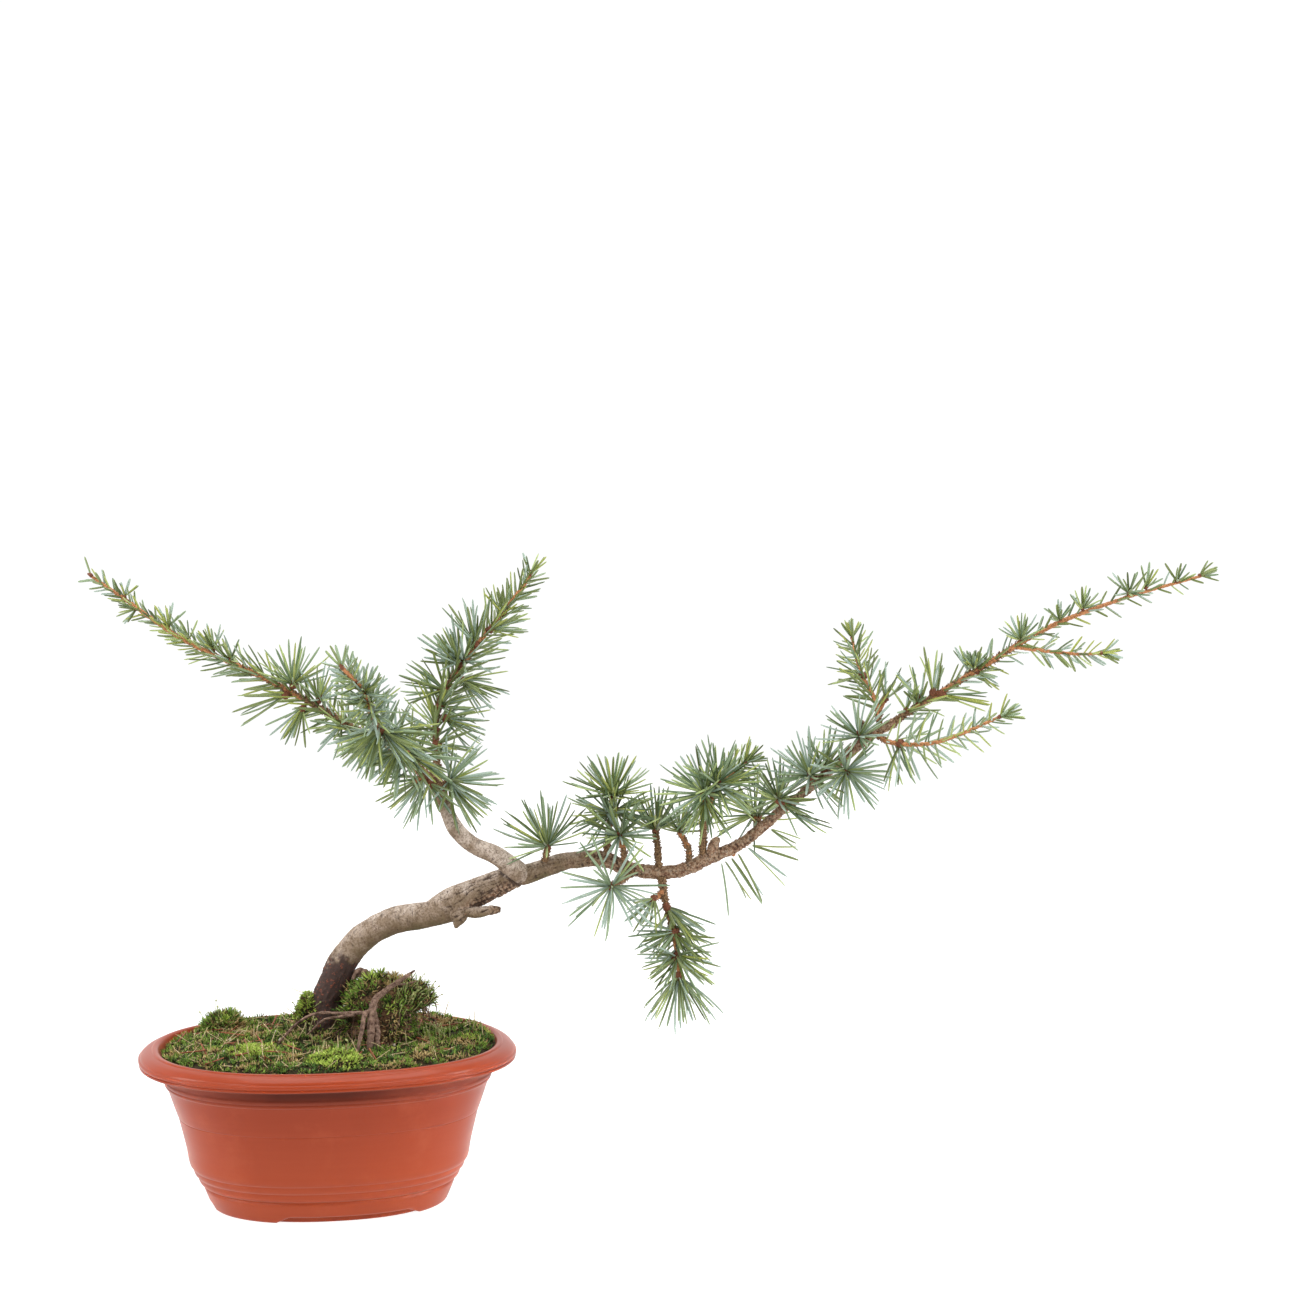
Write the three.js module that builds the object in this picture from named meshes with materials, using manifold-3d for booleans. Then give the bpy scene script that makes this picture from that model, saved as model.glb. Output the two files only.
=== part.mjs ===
// A young blue atlas cedar trained as a bonsai: a leaning trunk, a short bough to the left, a long bough
// to the right and their needled shoots and spurs, in an oval terracotta-coloured pot with mossy soil.
// Millimetres, +Z up. The origin is the middle of the pot's flat underside, +X runs along the tree's long
// spread to the right, and +Y points away from the tree's front.
import * as THREE from 'three';
import { mergeVertices } from 'three/addons/utils/BufferGeometryUtils.js';
import Module from 'manifold-3d';

const wasm = await Module();
wasm.setup();

// Driving dimensions
const CLEARANCE = 0.3;
// Steps that spread a run of places evenly over a patch, however many of them are used
const SPREAD = [0.7548776662, 0.569840291];

// The plan is an oval between an ellipse and a rounded rectangle. Each ring has a half-length and a height,
// up the outside over three ledges to the rim, then down inside to the floor.
const POT = {
  sides: 36,
  widthRatio: 0.76,
  squareness: 2.25,
  turn: THREE.MathUtils.degToRad(12),
  outside: [
    [63.8, 0], [65.6, 7.4], [68.0, 8.6], [69.6, 11.8], [71.2, 13.0], [72.8, 16.4], [74.6, 17.6],
    [81.4, 47], [85.0, 59.5], [88.2, 66.5], [92.4, 73.2],
  ],
  rim: [[98.6, 74.6], [100, 76.6], [97.4, 79.6], [93.0, 83.4], [90.6, 84.4]],
  inside: [[88.6, 83.6], [86.4, 78], [71.6, 18], [63, 8.5], [60, 5.5]],
  notchHeight: 3.4,
  notchDepth: 3.2,
  notchSlope: 8,
  longNotch: 76,
  endNotch: 28,
  notchReach: 30,
  drainHole: 4.5,
  drainSpacing: 34,
};
POT.base = POT.outside[0][0];
POT.brim = POT.inside[0][0];
POT.floor = POT.inside.at(-1)[1];

const GROUND = 84;
// The ground rises towards the trunk's foot, and shares are the half-lengths of its rings inside the brim
const SOIL = { wallTop: 77.5, top: 80, wave: 0.8, rise: 4.2, riseReach: 24, shares: [0.8, 0.5, 0.22] };
const MOSS = {
  edge: 78.4, wallTop: 81.5, top: 84.6, wave: 1.2, rise: 9, riseReach: 15, shares: [0.84, 0.56, 0.28],
  cushionSink: 2,
};
const MOUND = {
  centre: [33, 10], radii: [27, 21], base: 80.8, top: 116.5, lumps: 1.9, overhang: 5, sides: 18,
  levels: [0, 0.2, 0.42, 0.64, 0.82, 0.95], roundness: 2.6,
};
// Centre, radius and height above the moss of each soft cushion of moss
const CUSHIONS = [[-17, 11, 8.5, 9], [-60, 30, 8, 6], [9, -46, 14, 2.5], [-36, -28, 12, 2]];

// Routes of the limbs: x, y, z and radius at each bend
const TRUNK = [
  [-5, 18, GROUND, 8.9], [-2, 18, 98, 8.2], [8, 16, 126, 6.9], [20, 14, 139, 7.0], [36, 12, 147.5, 7.1],
  [54, 8, 151.5, 6.6], [66, 6, 157, 8.9], [80, 4, 164, 8.1], [97, 2, 172, 6.3],
];
const TRUNK_STUB = [[70, 4, 158, 4.2], [78, -4, 155, 3.2], [91, -8, 157, 2.3]];
const TRUNK_KNOB = [[69, 3, 156, 6], [68, -3, 149, 4.2]];
const ROOT_FLARE = { share: 0.28, height: 7, lobes: 5, lobeShare: 0.09 };
const BOUGH_RIGHT = [
  [95, 2, 171, 5.8], [108, 2, 174.5, 5.2], [127, 5, 180.5, 4.7], [146, 7, 181, 4.2], [162, 2, 176.5, 3.8],
  [185, 0, 176, 3.5], [202, 0, 183, 3.6], [220, -2, 192, 2.9], [240, -4, 209, 2.6], [261, -8, 227, 2.5],
  [283, -11, 247, 2.5], [297, -12, 256, 2.7],
];
const BOUGH_RIGHT_KNOBS = [
  [[204, 0, 184, 2.6], [205, -3, 193.5, 3.1]],
  [[284, -11, 250, 2], [281, -12, 256, 1.8]],
];
const BOUGH_LEFT = [
  [102, -1, 175, 6.0], [91, -6, 185, 4.8], [78, -9, 192, 4.4], [69, -11, 201, 4.2], [64, -12, 213, 3.6],
  [60, -12, 224, 3.7],
];

// Dead roots that lie over the mound
const OLD_ROOTS = {
  old_root_long: [
    [47, -1, 123, 1.2], [36, -9, 115.5, 1.7], [26, -15, 108, 2.3], [22, -22, 97, 2.0], [19, -26, 84, 1.6],
  ],
  old_root_low: [[-25, -8, 85.5, 0.9], [-14, -6, 95, 1.1], [4, -8, 100, 1.4], [24, -18.5, 102, 1.6]],
  old_root_stump: [[27, -13, 104, 3.2], [29, -19, 94, 3.0], [29, -20, 84, 2.4]],
};

// Sections of the limbs: sides of the ring, and the step between rings along the limb
const STOUT = { sides: 10, step: 8 };
const BRANCH = { sides: 8, step: 10 };
const SHORT_BRANCH = { sides: 8, step: 9 };
const ROOT = { sides: 6, step: 8 };
const SHOOT = { sides: 4, step: 11 };
const DOME = { narrowing: 0.45, rise: 0.55 };
const BUD = { radius: 3.1, share: 0.13, plainUnder: 12 };

// A needle's radius is its slimness times its length, kept between thinnest and thickest. Its root is a
// triangle within one face of the wood, up to rootShare of that face, where the face looks its way enough.
// Fullness multiplies the counts given for the masses below, and tries is how often each needle is offered.
const NEEDLE = {
  slimness: 0.05, thinnest: 0.6, thickest: 1.05, rootShare: 0.6, rootMargin: 0.92, leastOutward: 0.25,
  neck: 1.2, shankShare: 0.85, pointShare: 0.5, fullness: 1.3, tries: 16,
};
// How much chance varies the needles: shares of the length, and turn and tilt in radians
const CHANCE = {
  fan: { least: 0.86, more: 0.2, turn: 0.2 },
  row: { least: 0.85, more: 0.25, turn: 0.5, tilt: THREE.MathUtils.degToRad(16) },
};
// Steps along a limb for the clearance test, and along a stem for the places of its rows
const TEST_STEP = 6;
const ROW_STEP = 5;
const EQUILATERAL_AREA = (3 * Math.sqrt(3)) / 4;

// Each mass of needles: its stems as routes, fans of needles that face away from a bud, and rows of single
// needles round a stem. A fan's needles lie within the widest angle from the way it faces. A row runs
// from one share of its stem's length to another, and its needles lean from the stem by an angle.
const MASSES = {
  left_leader: {
    seed: 11,
    stems: [
      [[58, -11, 225, 2.7], [37, 6, 237, 2.4], [0, 18, 258, 2.0], [-32, 22, 275, 1.7],
        [-77, 26, 296, 1.4], [-109, 28, 318, 1.2], [-125, 29, 329, 0.9]],
    ],
    fans: [
      { at: [0, 18, 259], facing: [-0.4, -0.7, 0.5], length: 17, count: 9, widest: 80 },
      { at: [-19, 20, 272], facing: [0.1, -0.3, 1], length: 22, count: 13, widest: 75 },
      { at: [-11, 17, 262], facing: [-0.1, -0.5, -1], length: 22, count: 9, widest: 75 },
      { at: [-54, 25, 287], facing: [0, -0.3, 1], length: 15, count: 7, widest: 80 },
      { at: [-104, 28, 314], facing: [-0.5, 0, 0.8], length: 10, count: 5, widest: 80 },
      { at: [-125, 29, 329], facing: [-0.9, 0, 0.55], length: 11, count: 6, widest: 55 },
    ],
    rows: [
      { stem: 0, from: 0.12, to: 0.42, count: 8, longest: 19, shortest: 18, angle: 62 },
      { stem: 0, from: 0.42, to: 0.97, count: 22, longest: 17, shortest: 10, angle: 55 },
    ],
  },
  left_front_shoot: {
    seed: 12,
    stems: [
      [[61, -14, 223, 2.8], [55, -22, 231, 2.4], [40, -38, 248, 2.0], [32, -54, 263, 2.0],
        [27, -68, 280, 1.9], [18, -80, 293, 1.2]],
      [[55, -22, 231, 2.0], [50, -27, 228, 1.8]],
    ],
    fans: [
      { at: [49, -28, 227], facing: [-0.6, -0.5, -0.75], length: 25, count: 13, widest: 75 },
      { at: [36, -46, 255], facing: [-0.7, -0.5, -0.3], length: 24, count: 12, widest: 78 },
      { at: [41, -38, 248], facing: [0.8, -0.5, -0.3], length: 24, count: 10, widest: 70 },
      { at: [31, -60, 271], facing: [0.5, -0.5, 0.3], length: 20, count: 9, widest: 85 },
      { at: [18, -80, 293], facing: [-0.4, -0.5, 0.8], length: 12, count: 6, widest: 65 },
    ],
    rows: [
      { stem: 0, from: 0.3, to: 0.95, count: 14, longest: 22, shortest: 14, angle: 62 },
    ],
  },
  left_upright_shoot: {
    seed: 13,
    stems: [
      [[60, -8, 224, 2.5], [59, 2, 237, 2.2], [58, 12, 255, 2.1], [62, 18, 269, 2.1], [80, 28, 294, 1.5],
        [105, 38, 326, 1.1], [108, 40, 331, 0.9]],
    ],
    fans: [
      { at: [66, 20, 274], facing: [0.5, -0.8, -0.1], length: 20, count: 8, widest: 80 },
      { at: [59, 10, 250], facing: [0.9, -0.3, 0.1], length: 20, count: 7, widest: 75 },
      { at: [60, 16, 263], facing: [-0.8, -0.4, 0.3], length: 20, count: 7, widest: 75 },
      { at: [108, 40, 332], facing: [0.15, 0, 1], length: 11, count: 6, widest: 50 },
    ],
    rows: [
      { stem: 0, from: 0.35, to: 0.97, count: 28, longest: 20, shortest: 12, angle: 55 },
    ],
  },
  left_collar_tuft: {
    seed: 14,
    stems: [
      [[61, -12, 221, 2.4], [66, -16, 226, 2.2]],
    ],
    fans: [
      { at: [67, -16.5, 227], facing: [0.75, -0.6, 0], length: 28, count: 20, widest: 85 },
    ],
  },
  spur_tuft_1: {
    seed: 21,
    stems: [
      [[115, 3, 177, 2.2], [117, -3, 189, 1.9]],
    ],
    fans: [
      { at: [117, -3, 190], facing: [-0.25, -0.3, 1], length: 26, count: 18, widest: 88 },
    ],
  },
  spur_tuft_2: {
    seed: 22,
    stems: [
      [[148, 7, 180, 2.4], [149, 6, 195, 2.0], [151, 4, 214, 1.8]],
    ],
    fans: [
      { at: [151, 4, 215], facing: [0, -0.2, 1], length: 25, count: 20, widest: 95 },
      { at: [149.5, 5, 205], facing: [-0.5, -0.6, 0.1], length: 20, count: 6, widest: 70 },
    ],
  },
  spur_tuft_3: {
    seed: 23,
    stems: [
      [[158, 3, 177, 2.2], [157, -2, 188, 1.8], [155, -6, 195, 1.8]],
    ],
    fans: [
      { at: [155, -6, 196], facing: [-0.1, -0.7, 0.7], length: 24, count: 14, widest: 88 },
    ],
  },
  spur_tuft_4: {
    seed: 24,
    stems: [
      [[176, 0, 176, 2.3], [175, 4, 187, 2.0], [174, 8, 196, 1.9]],
    ],
    fans: [
      { at: [174, 8, 197], facing: [0, -0.1, 1], length: 23, count: 14, widest: 88 },
    ],
  },
  spur_tuft_5: {
    seed: 25,
    stems: [
      [[192, 0, 178, 2.1], [191, 4, 188, 1.8], [187, 6, 195, 1.8]],
    ],
    fans: [
      { at: [187, 6, 196], facing: [0.3, 0.5, 0.8], length: 16, count: 9, widest: 88 },
    ],
  },
  spur_tuft_6: {
    seed: 26,
    stems: [
      [[199, 0, 182, 2.6], [199, -2, 192, 2.3], [199, -7, 205, 2.1], [199, -14, 220, 1.8]],
      [[199, -7, 205, 1.9], [206, -15, 224, 1.6], [214, -13, 233, 1.3], [223, -11, 242, 0.9]],
    ],
    fans: [
      { at: [199, -15, 220], facing: [-0.5, -0.7, 0.5], length: 24, count: 14, widest: 85 },
      { at: [206, -17, 225], facing: [0.5, -0.7, 0.4], length: 24, count: 14, widest: 85 },
      { at: [223, -11, 242], facing: [0.5, 0, 0.9], length: 14, count: 7, widest: 55 },
    ],
    rows: [
      { stem: 1, from: 0.5, to: 0.95, count: 6, longest: 20, shortest: 14, angle: 60 },
    ],
  },
  spur_tuft_7: {
    seed: 27,
    stems: [
      [[229, -3, 200, 2.0], [227, 5, 202.5, 1.8], [226, 11, 204, 1.8]],
    ],
    fans: [
      { at: [226, 11, 204.5], facing: [-0.35, 0.7, 0.5], length: 23, count: 12, widest: 88 },
    ],
  },
  spur_tuft_8: {
    seed: 28,
    stems: [
      [[242, -5, 210, 2.0], [238, -9, 215, 1.8]],
    ],
    fans: [
      { at: [238, -9.5, 216], facing: [-0.5, -0.3, 0.8], length: 23, count: 13, widest: 88 },
    ],
  },
  front_spur_tuft: {
    seed: 29,
    stems: [
      [[163, 2, 176, 2.2], [156, -10, 173, 1.9], [151, -21, 172, 1.9]],
    ],
    fans: [
      { at: [151, -22, 172], facing: [-0.15, -0.95, -0.25], length: 30, count: 22, widest: 98 },
    ],
  },
  drooping_shoot: {
    seed: 31,
    stems: [
      [[177, 0, 174, 2.9], [178, -4, 166, 2.5], [180, -7, 158, 2.1], [184, -12, 142, 1.6],
        [186, -17, 125, 1.1]],
      [[178, -4, 166, 1.7], [174, -12, 164, 1.6]],
    ],
    fans: [
      { at: [173, -13, 164], facing: [-0.75, -0.5, -0.45], length: 18, count: 9, widest: 80 },
      { at: [181.5, -4.5, 158], facing: [0.8, 0.1, -0.5], length: 25, count: 12, widest: 70 },
      { at: [184, -12, 143], facing: [-0.9, -0.2, -0.1], length: 23, count: 8, widest: 65 },
      { at: [184, -13, 141], facing: [0.9, -0.2, -0.4], length: 23, count: 7, widest: 60 },
      { at: [186, -17, 125], facing: [0, -0.15, -1], length: 28, count: 14, widest: 80 },
    ],
    rows: [
      { stem: 0, from: 0.35, to: 0.95, count: 8, longest: 20, shortest: 18, angle: 60 },
    ],
  },
  under_tuft: {
    seed: 32,
    stems: [
      [[216, -1, 190, 1.9], [215, 1, 182.5, 1.6]],
    ],
    fans: [
      { at: [215, 1, 182.5], facing: [0.35, -0.15, -1], length: 28, count: 8, widest: 58 },
    ],
  },
  spur_tuft_9: {
    seed: 33,
    stems: [
      [[258, -7, 224, 1.9], [255, -11.5, 227.5, 1.7]],
    ],
    fans: [
      { at: [254, -12.5, 229], facing: [-0.1, -0.4, 1], length: 23, count: 13, widest: 88 },
    ],
  },
  spur_tuft_10: {
    seed: 34,
    stems: [
      [[272, -10, 237, 1.9], [273, -17, 233, 1.7]],
    ],
    fans: [
      { at: [273, -18.5, 232], facing: [0.3, -0.75, -0.6], length: 22, count: 14, widest: 85 },
    ],
  },
  spur_tuft_11: {
    seed: 35,
    stems: [
      [[283, -11, 247, 1.9], [280, -16.5, 249, 1.7]],
    ],
    fans: [
      { at: [279.5, -17.5, 250], facing: [-0.3, -0.5, 0.9], length: 20, count: 11, widest: 85 },
    ],
  },
  right_upright_shoot: {
    seed: 36,
    stems: [
      [[291, -12, 252, 2.2], [289, -4, 266, 1.6], [283, 5, 278, 1.3], [279, 13, 289, 1.1],
        [278, 22, 302, 0.8]],
      [[290, -7, 260, 1.3], [294, -5, 268, 1.0]],
    ],
    fans: [
      { at: [294, -5, 268], facing: [0.3, 0, 1], length: 13, count: 6, widest: 50 },
      { at: [278, 22, 302], facing: [-0.1, 0.1, 1], length: 11, count: 7, widest: 55 },
    ],
    rows: [
      { stem: 0, from: 0.2, to: 0.95, count: 20, longest: 17, shortest: 13, angle: 58 },
    ],
  },
  lower_shoot: {
    seed: 37,
    stems: [
      [[289, -11, 251, 1.9], [293, -20, 248, 1.6], [303, -27, 247, 1.3], [316, -36, 249, 1.2],
        [330, -44, 255, 1.1], [348, -55, 265, 0.8]],
    ],
    fans: [
      { at: [348, -55, 265], facing: [0.8, -0.3, 0.5], length: 10, count: 7, widest: 60 },
    ],
    rows: [
      { stem: 0, from: 0.3, to: 0.96, count: 22, longest: 19, shortest: 11, angle: 62 },
    ],
  },
  leader_shoot: {
    seed: 38,
    stems: [
      [[296, -12, 255, 2.6], [304, -12, 261, 1.9], [339, -14, 283, 1.7], [377, -13, 306, 1.5],
        [416, -11, 321, 1.1], [458, -9, 333, 0.8]],
    ],
    fans: [
      { at: [339, -14, 284], facing: [-0.3, -0.3, 1], length: 10, count: 6, widest: 95 },
      { at: [363, -14, 299], facing: [-0.3, -0.2, 1], length: 14, count: 8, widest: 85 },
      { at: [380, -13, 309], facing: [0.2, -0.2, 1], length: 9, count: 5, widest: 95 },
      { at: [394, -12, 315], facing: [0.1, -0.2, 1], length: 8, count: 4, widest: 95 },
      { at: [420, -11, 323], facing: [0.1, -0.2, 1], length: 9, count: 5, widest: 95 },
      { at: [458, -9, 333], facing: [0.95, 0, 0.3], length: 9, count: 6, widest: 55 },
    ],
    rows: [
      { stem: 0, from: 0.08, to: 0.96, count: 28, longest: 13, shortest: 8, angle: 58 },
    ],
  },
  leader_side_shoot: {
    seed: 39,
    stems: [
      [[361, -14, 296, 1.3], [374, -22, 295, 1.1], [392, -29, 294, 0.9], [402, -34, 295, 0.8]],
    ],
    fans: [
      { at: [402, -34, 295], facing: [0.95, -0.3, 0.1], length: 9, count: 6, widest: 50 },
    ],
    rows: [
      { stem: 0, from: 0.25, to: 0.94, count: 12, longest: 12, shortest: 8, angle: 58 },
    ],
  },
};

const COLOURS = {
  pot: new THREE.MeshStandardMaterial({ name: 'terracotta plastic', color: 0xb0563c, roughness: 0.45 }),
  soil: new THREE.MeshStandardMaterial({ name: 'potting soil', color: 0x3d2b22, roughness: 1 }),
  moss: new THREE.MeshStandardMaterial({ name: 'moss', color: 0x5a6a2c, roughness: 1 }),
  root: new THREE.MeshStandardMaterial({ name: 'dead root', color: 0x5b4336, roughness: 0.95 }),
  bark: new THREE.MeshStandardMaterial({ name: 'cedar bark', color: 0x8a6f62, roughness: 0.9 }),
  needles: new THREE.MeshStandardMaterial({ name: 'blue cedar needles', color: 0x7f9f92, roughness: 0.6 }),
};

// A repeatable random number from 0 to 1 at each call
function seeded(seed) {
  let state = seed;
  return () => {
    state = (state + 0x6d2b79f5) | 0;
    let t = Math.imul(state ^ (state >>> 15), 1 | state);
    t = (t + Math.imul(t ^ (t >>> 7), 61 | t)) ^ t;
    return ((t ^ (t >>> 14)) >>> 0) / 4294967296;
  };
}

// A closed geometry from points and triangles
function closedGeometry(points, triangles) {
  const geometry = new THREE.BufferGeometry();
  geometry.setAttribute('position', new THREE.Float32BufferAttribute(points.flatMap((p) => p.toArray()), 3));
  geometry.setIndex(triangles);
  return geometry;
}

// Skins a stack of rings of equal length, each anticlockwise seen from ahead, and closes both ends
function loft(rings) {
  const sides = rings[0].length;
  const points = rings.flat();
  const triangles = [];
  for (let ring = 0; ring + 1 < rings.length; ring++) {
    for (let i = 0; i < sides; i++) {
      const a = ring * sides + i;
      const b = ring * sides + ((i + 1) % sides);
      triangles.push(a, b, b + sides, a, b + sides, a + sides);
    }
  }
  const middleOf = (ring) => ring.reduce((sum, p) => sum.add(p), new THREE.Vector3()).divideScalar(sides);
  const first = points.push(middleOf(rings[0])) - 1;
  const last = points.push(middleOf(rings.at(-1))) - 1;
  const lastRing = (rings.length - 1) * sides;
  for (let i = 0; i < sides; i++) {
    const next = (i + 1) % sides;
    triangles.push(first, next, i, last, lastRing + i, lastRing + next);
  }
  return closedGeometry(points, triangles);
}

// The geometry as a solid that can be joined and cut
function solid(geometry) {
  const bare = new THREE.BufferGeometry();
  bare.setAttribute('position', geometry.getAttribute('position'));
  bare.setIndex(geometry.index);
  const merged = mergeVertices(bare, 1e-4);
  return new wasm.Manifold(new wasm.Mesh({
    numProp: 3,
    vertProperties: merged.attributes.position.array,
    triVerts: new Uint32Array(merged.index.array),
  }));
}

// The largest body of a solid, without the scraps that a cut leaves
function largest(body) {
  return body.decompose().reduce((best, piece) => (piece.volume() > best.volume() ? piece : best));
}

function geometryOf(body) {
  const mesh = body.getMesh();
  const geometry = new THREE.BufferGeometry();
  geometry.setAttribute('position', new THREE.BufferAttribute(new Float32Array(mesh.vertProperties), 3));
  geometry.setIndex(new THREE.BufferAttribute(new Uint32Array(mesh.triVerts), 1));
  return geometry;
}

// A point of the pot's oval plan at an angle, for a half-length and a height
function ovalPoint(angle, halfLength, z) {
  const round = (value) => Math.sign(value) * Math.abs(value) ** (2 / POT.squareness);
  const point = new THREE.Vector3(round(Math.cos(angle)), round(Math.sin(angle)) * POT.widthRatio, 0);
  return point.multiplyScalar(halfLength).applyAxisAngle(new THREE.Vector3(0, 0, 1), POT.turn).setZ(z);
}

// A ring of the pot's plan, whose height may be a number or a function of the place
function ovalRing(halfLength, height) {
  return Array.from({ length: POT.sides }, (_, i) => {
    const point = ovalPoint((i / POT.sides) * 2 * Math.PI, halfLength, 0);
    return point.setZ(typeof height === 'function' ? height(point.x, point.y) : height);
  });
}

// A three.js shape as a solid, with only its corners kept
function solidOfShape(geometry) {
  geometry.deleteAttribute('normal');
  geometry.deleteAttribute('uv');
  return solid(mergeVertices(geometry));
}

// A bar under the pot's edge with sloped ends, which leaves a foot on each side of it
function notch(length, distance, facing) {
  const half = length / 2;
  const outline = new THREE.Shape([
    new THREE.Vector2(-half, -1), new THREE.Vector2(half, -1),
    new THREE.Vector2(half - POT.notchSlope, POT.notchHeight),
    new THREE.Vector2(POT.notchSlope - half, POT.notchHeight),
  ]);
  const bar = new THREE.ExtrudeGeometry(outline, { depth: POT.notchReach, bevelEnabled: false });
  bar.rotateX(Math.PI / 2);
  bar.translate(0, -distance, 0);
  bar.rotateZ(facing + POT.turn);
  return solidOfShape(bar);
}

function potBody() {
  const rings = [...POT.outside, ...POT.rim, ...POT.inside].map(([half, z]) => ovalRing(half, z));
  let body = solid(loft(rings));
  const across = POT.base * POT.widthRatio - POT.notchDepth;
  const along = POT.base - POT.notchDepth;
  for (const side of [0, Math.PI]) {
    body = body.subtract(notch(POT.longNotch, across, side));
    body = body.subtract(notch(POT.endNotch, along, side + Math.PI / 2));
    const hole = new THREE.CylinderGeometry(POT.drainHole, POT.drainHole, 20, 12);
    hole.rotateX(Math.PI / 2);
    hole.translate(POT.drainSpacing * Math.cos(side), 0, 0);
    hole.rotateZ(POT.turn);
    body = body.subtract(solidOfShape(hole));
  }
  return body;
}

// Low waves of the ground over its plan, from about -1 to 1
function ripple(x, y) {
  return (Math.sin(0.19 * x + 0.7) * Math.cos(0.23 * y - 0.4) + Math.sin(0.11 * x - 0.31 * y + 2)) / 2;
}

// How near a place is to the trunk's foot, from 1 at the foot to 0 far away
function nearFoot(x, y, reach) {
  const [footX, footY] = TRUNK[0];
  return Math.exp(-((x - footX) ** 2 + (y - footY) ** 2) / reach ** 2);
}

function soilTop(x, y) {
  return SOIL.top + SOIL.wave * ripple(x, y) + SOIL.rise * nearFoot(x, y, SOIL.riseReach);
}

function mossTop(x, y) {
  return MOSS.top + MOSS.wave * ripple(1.7 * x, 1.7 * y) + MOSS.rise * nearFoot(x, y, MOSS.riseReach);
}

// Half-length of the space in the pot at a height, clear of its wall
function cavity(z) {
  const wall = [[POT.brim, POT.rim.at(-1)[1]], ...POT.inside].reverse();
  const above = wall.findIndex(([, height]) => height >= z);
  const [lowHalf, low] = wall[above - 1];
  const [highHalf, high] = wall[above];
  const half = THREE.MathUtils.mapLinear(z, low, high, lowHalf, highHalf);
  return half - CLEARANCE / POT.widthRatio;
}

// The potting soil; lift raises its top, and spread widens it past the pot's wall, to cut the moss above it
function soilBody(lift = 0, spread = 0) {
  const floor = POT.floor + CLEARANCE;
  const bends = POT.inside.slice(1, -1).map(([, z]) => z + CLEARANCE).reverse();
  const heights = [floor, ...bends.filter((z) => z < SOIL.wallTop), SOIL.wallTop];
  const walls = heights.map((z) => ovalRing(cavity(z) + spread, z + lift));
  const brim = cavity(SOIL.wallTop);
  const tops = SOIL.shares.map((share) => ovalRing(share * brim, (x, y) => soilTop(x, y) + lift));
  return solid(loft([...walls, ...tops]));
}

// A low dome of moss that grows out of the carpet
function cushionBody([x, y, radius, height]) {
  const foot = mossTop(x, y) - MOSS.cushionSink;
  const rings = [[1, 0], [0.94, 0.4], [0.66, 0.82], [0.25, 1]].map(([share, level]) => (
    Array.from({ length: 8 }, (_, i) => {
      const angle = (i / 8) * 2 * Math.PI;
      const z = foot + level * (height + MOSS.cushionSink);
      return new THREE.Vector3(x + share * radius * Math.cos(angle), y + share * radius * Math.sin(angle), z);
    })
  ));
  return solid(loft(rings));
}

function mossBody() {
  const brim = cavity(SOIL.wallTop);
  const edge = [ovalRing(brim, MOSS.edge), ovalRing(cavity(MOSS.wallTop), MOSS.wallTop)];
  const over = MOSS.shares.map((share) => ovalRing(share * brim, mossTop));
  let body = solid(loft([...edge, ...over]));
  for (const cushion of CUSHIONS) body = body.add(cushionBody(cushion));
  return body.subtract(soilBody(CLEARANCE, 1));
}

// The rooty, mossy mound beside the trunk, fuller at its right shoulder
function moundBody(grow = 0) {
  const [cx, cy] = MOUND.centre;
  const height = MOUND.top - MOUND.base;
  return solid(loft(MOUND.levels.map((level) => Array.from({ length: MOUND.sides }, (_, i) => {
    const angle = (i / MOUND.sides) * 2 * Math.PI;
    const waves = Math.sin(3 * angle + 9 * level) + Math.sin(5 * angle - 7 * level);
    const share = Math.sqrt(1 - level ** MOUND.roundness) * (1 + (MOUND.lumps / MOUND.radii[0]) * waves);
    const lean = MOUND.overhang * Math.sin(Math.PI * level) * Math.max(0, Math.cos(angle));
    return new THREE.Vector3(
      cx + (MOUND.radii[0] * share + grow + lean) * Math.cos(angle),
      cy + (MOUND.radii[1] * share + grow) * Math.sin(angle),
      MOUND.base + level * height + (level ? grow : -grow),
    );
  }))));
}

// Points and radii at even steps along a route, by a smooth curve through its bends
function trace(route, step) {
  const bends = route.map(([x, y, z]) => new THREE.Vector3(x, y, z));
  const curve = new THREE.CatmullRomCurve3(bends, false, 'centripetal');
  const count = Math.max(2, Math.round(curve.getLength() / step) + 1);
  return Array.from({ length: count }, (_, i) => {
    const share = curve.getUtoTmapping(i / (count - 1));
    const place = share * (route.length - 1);
    const knot = Math.min(Math.floor(place), route.length - 2);
    const radius = THREE.MathUtils.lerp(route[knot][3], route[knot + 1][3], place - knot);
    return { point: curve.getPoint(share), along: curve.getTangent(share), radius };
  });
}

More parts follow.
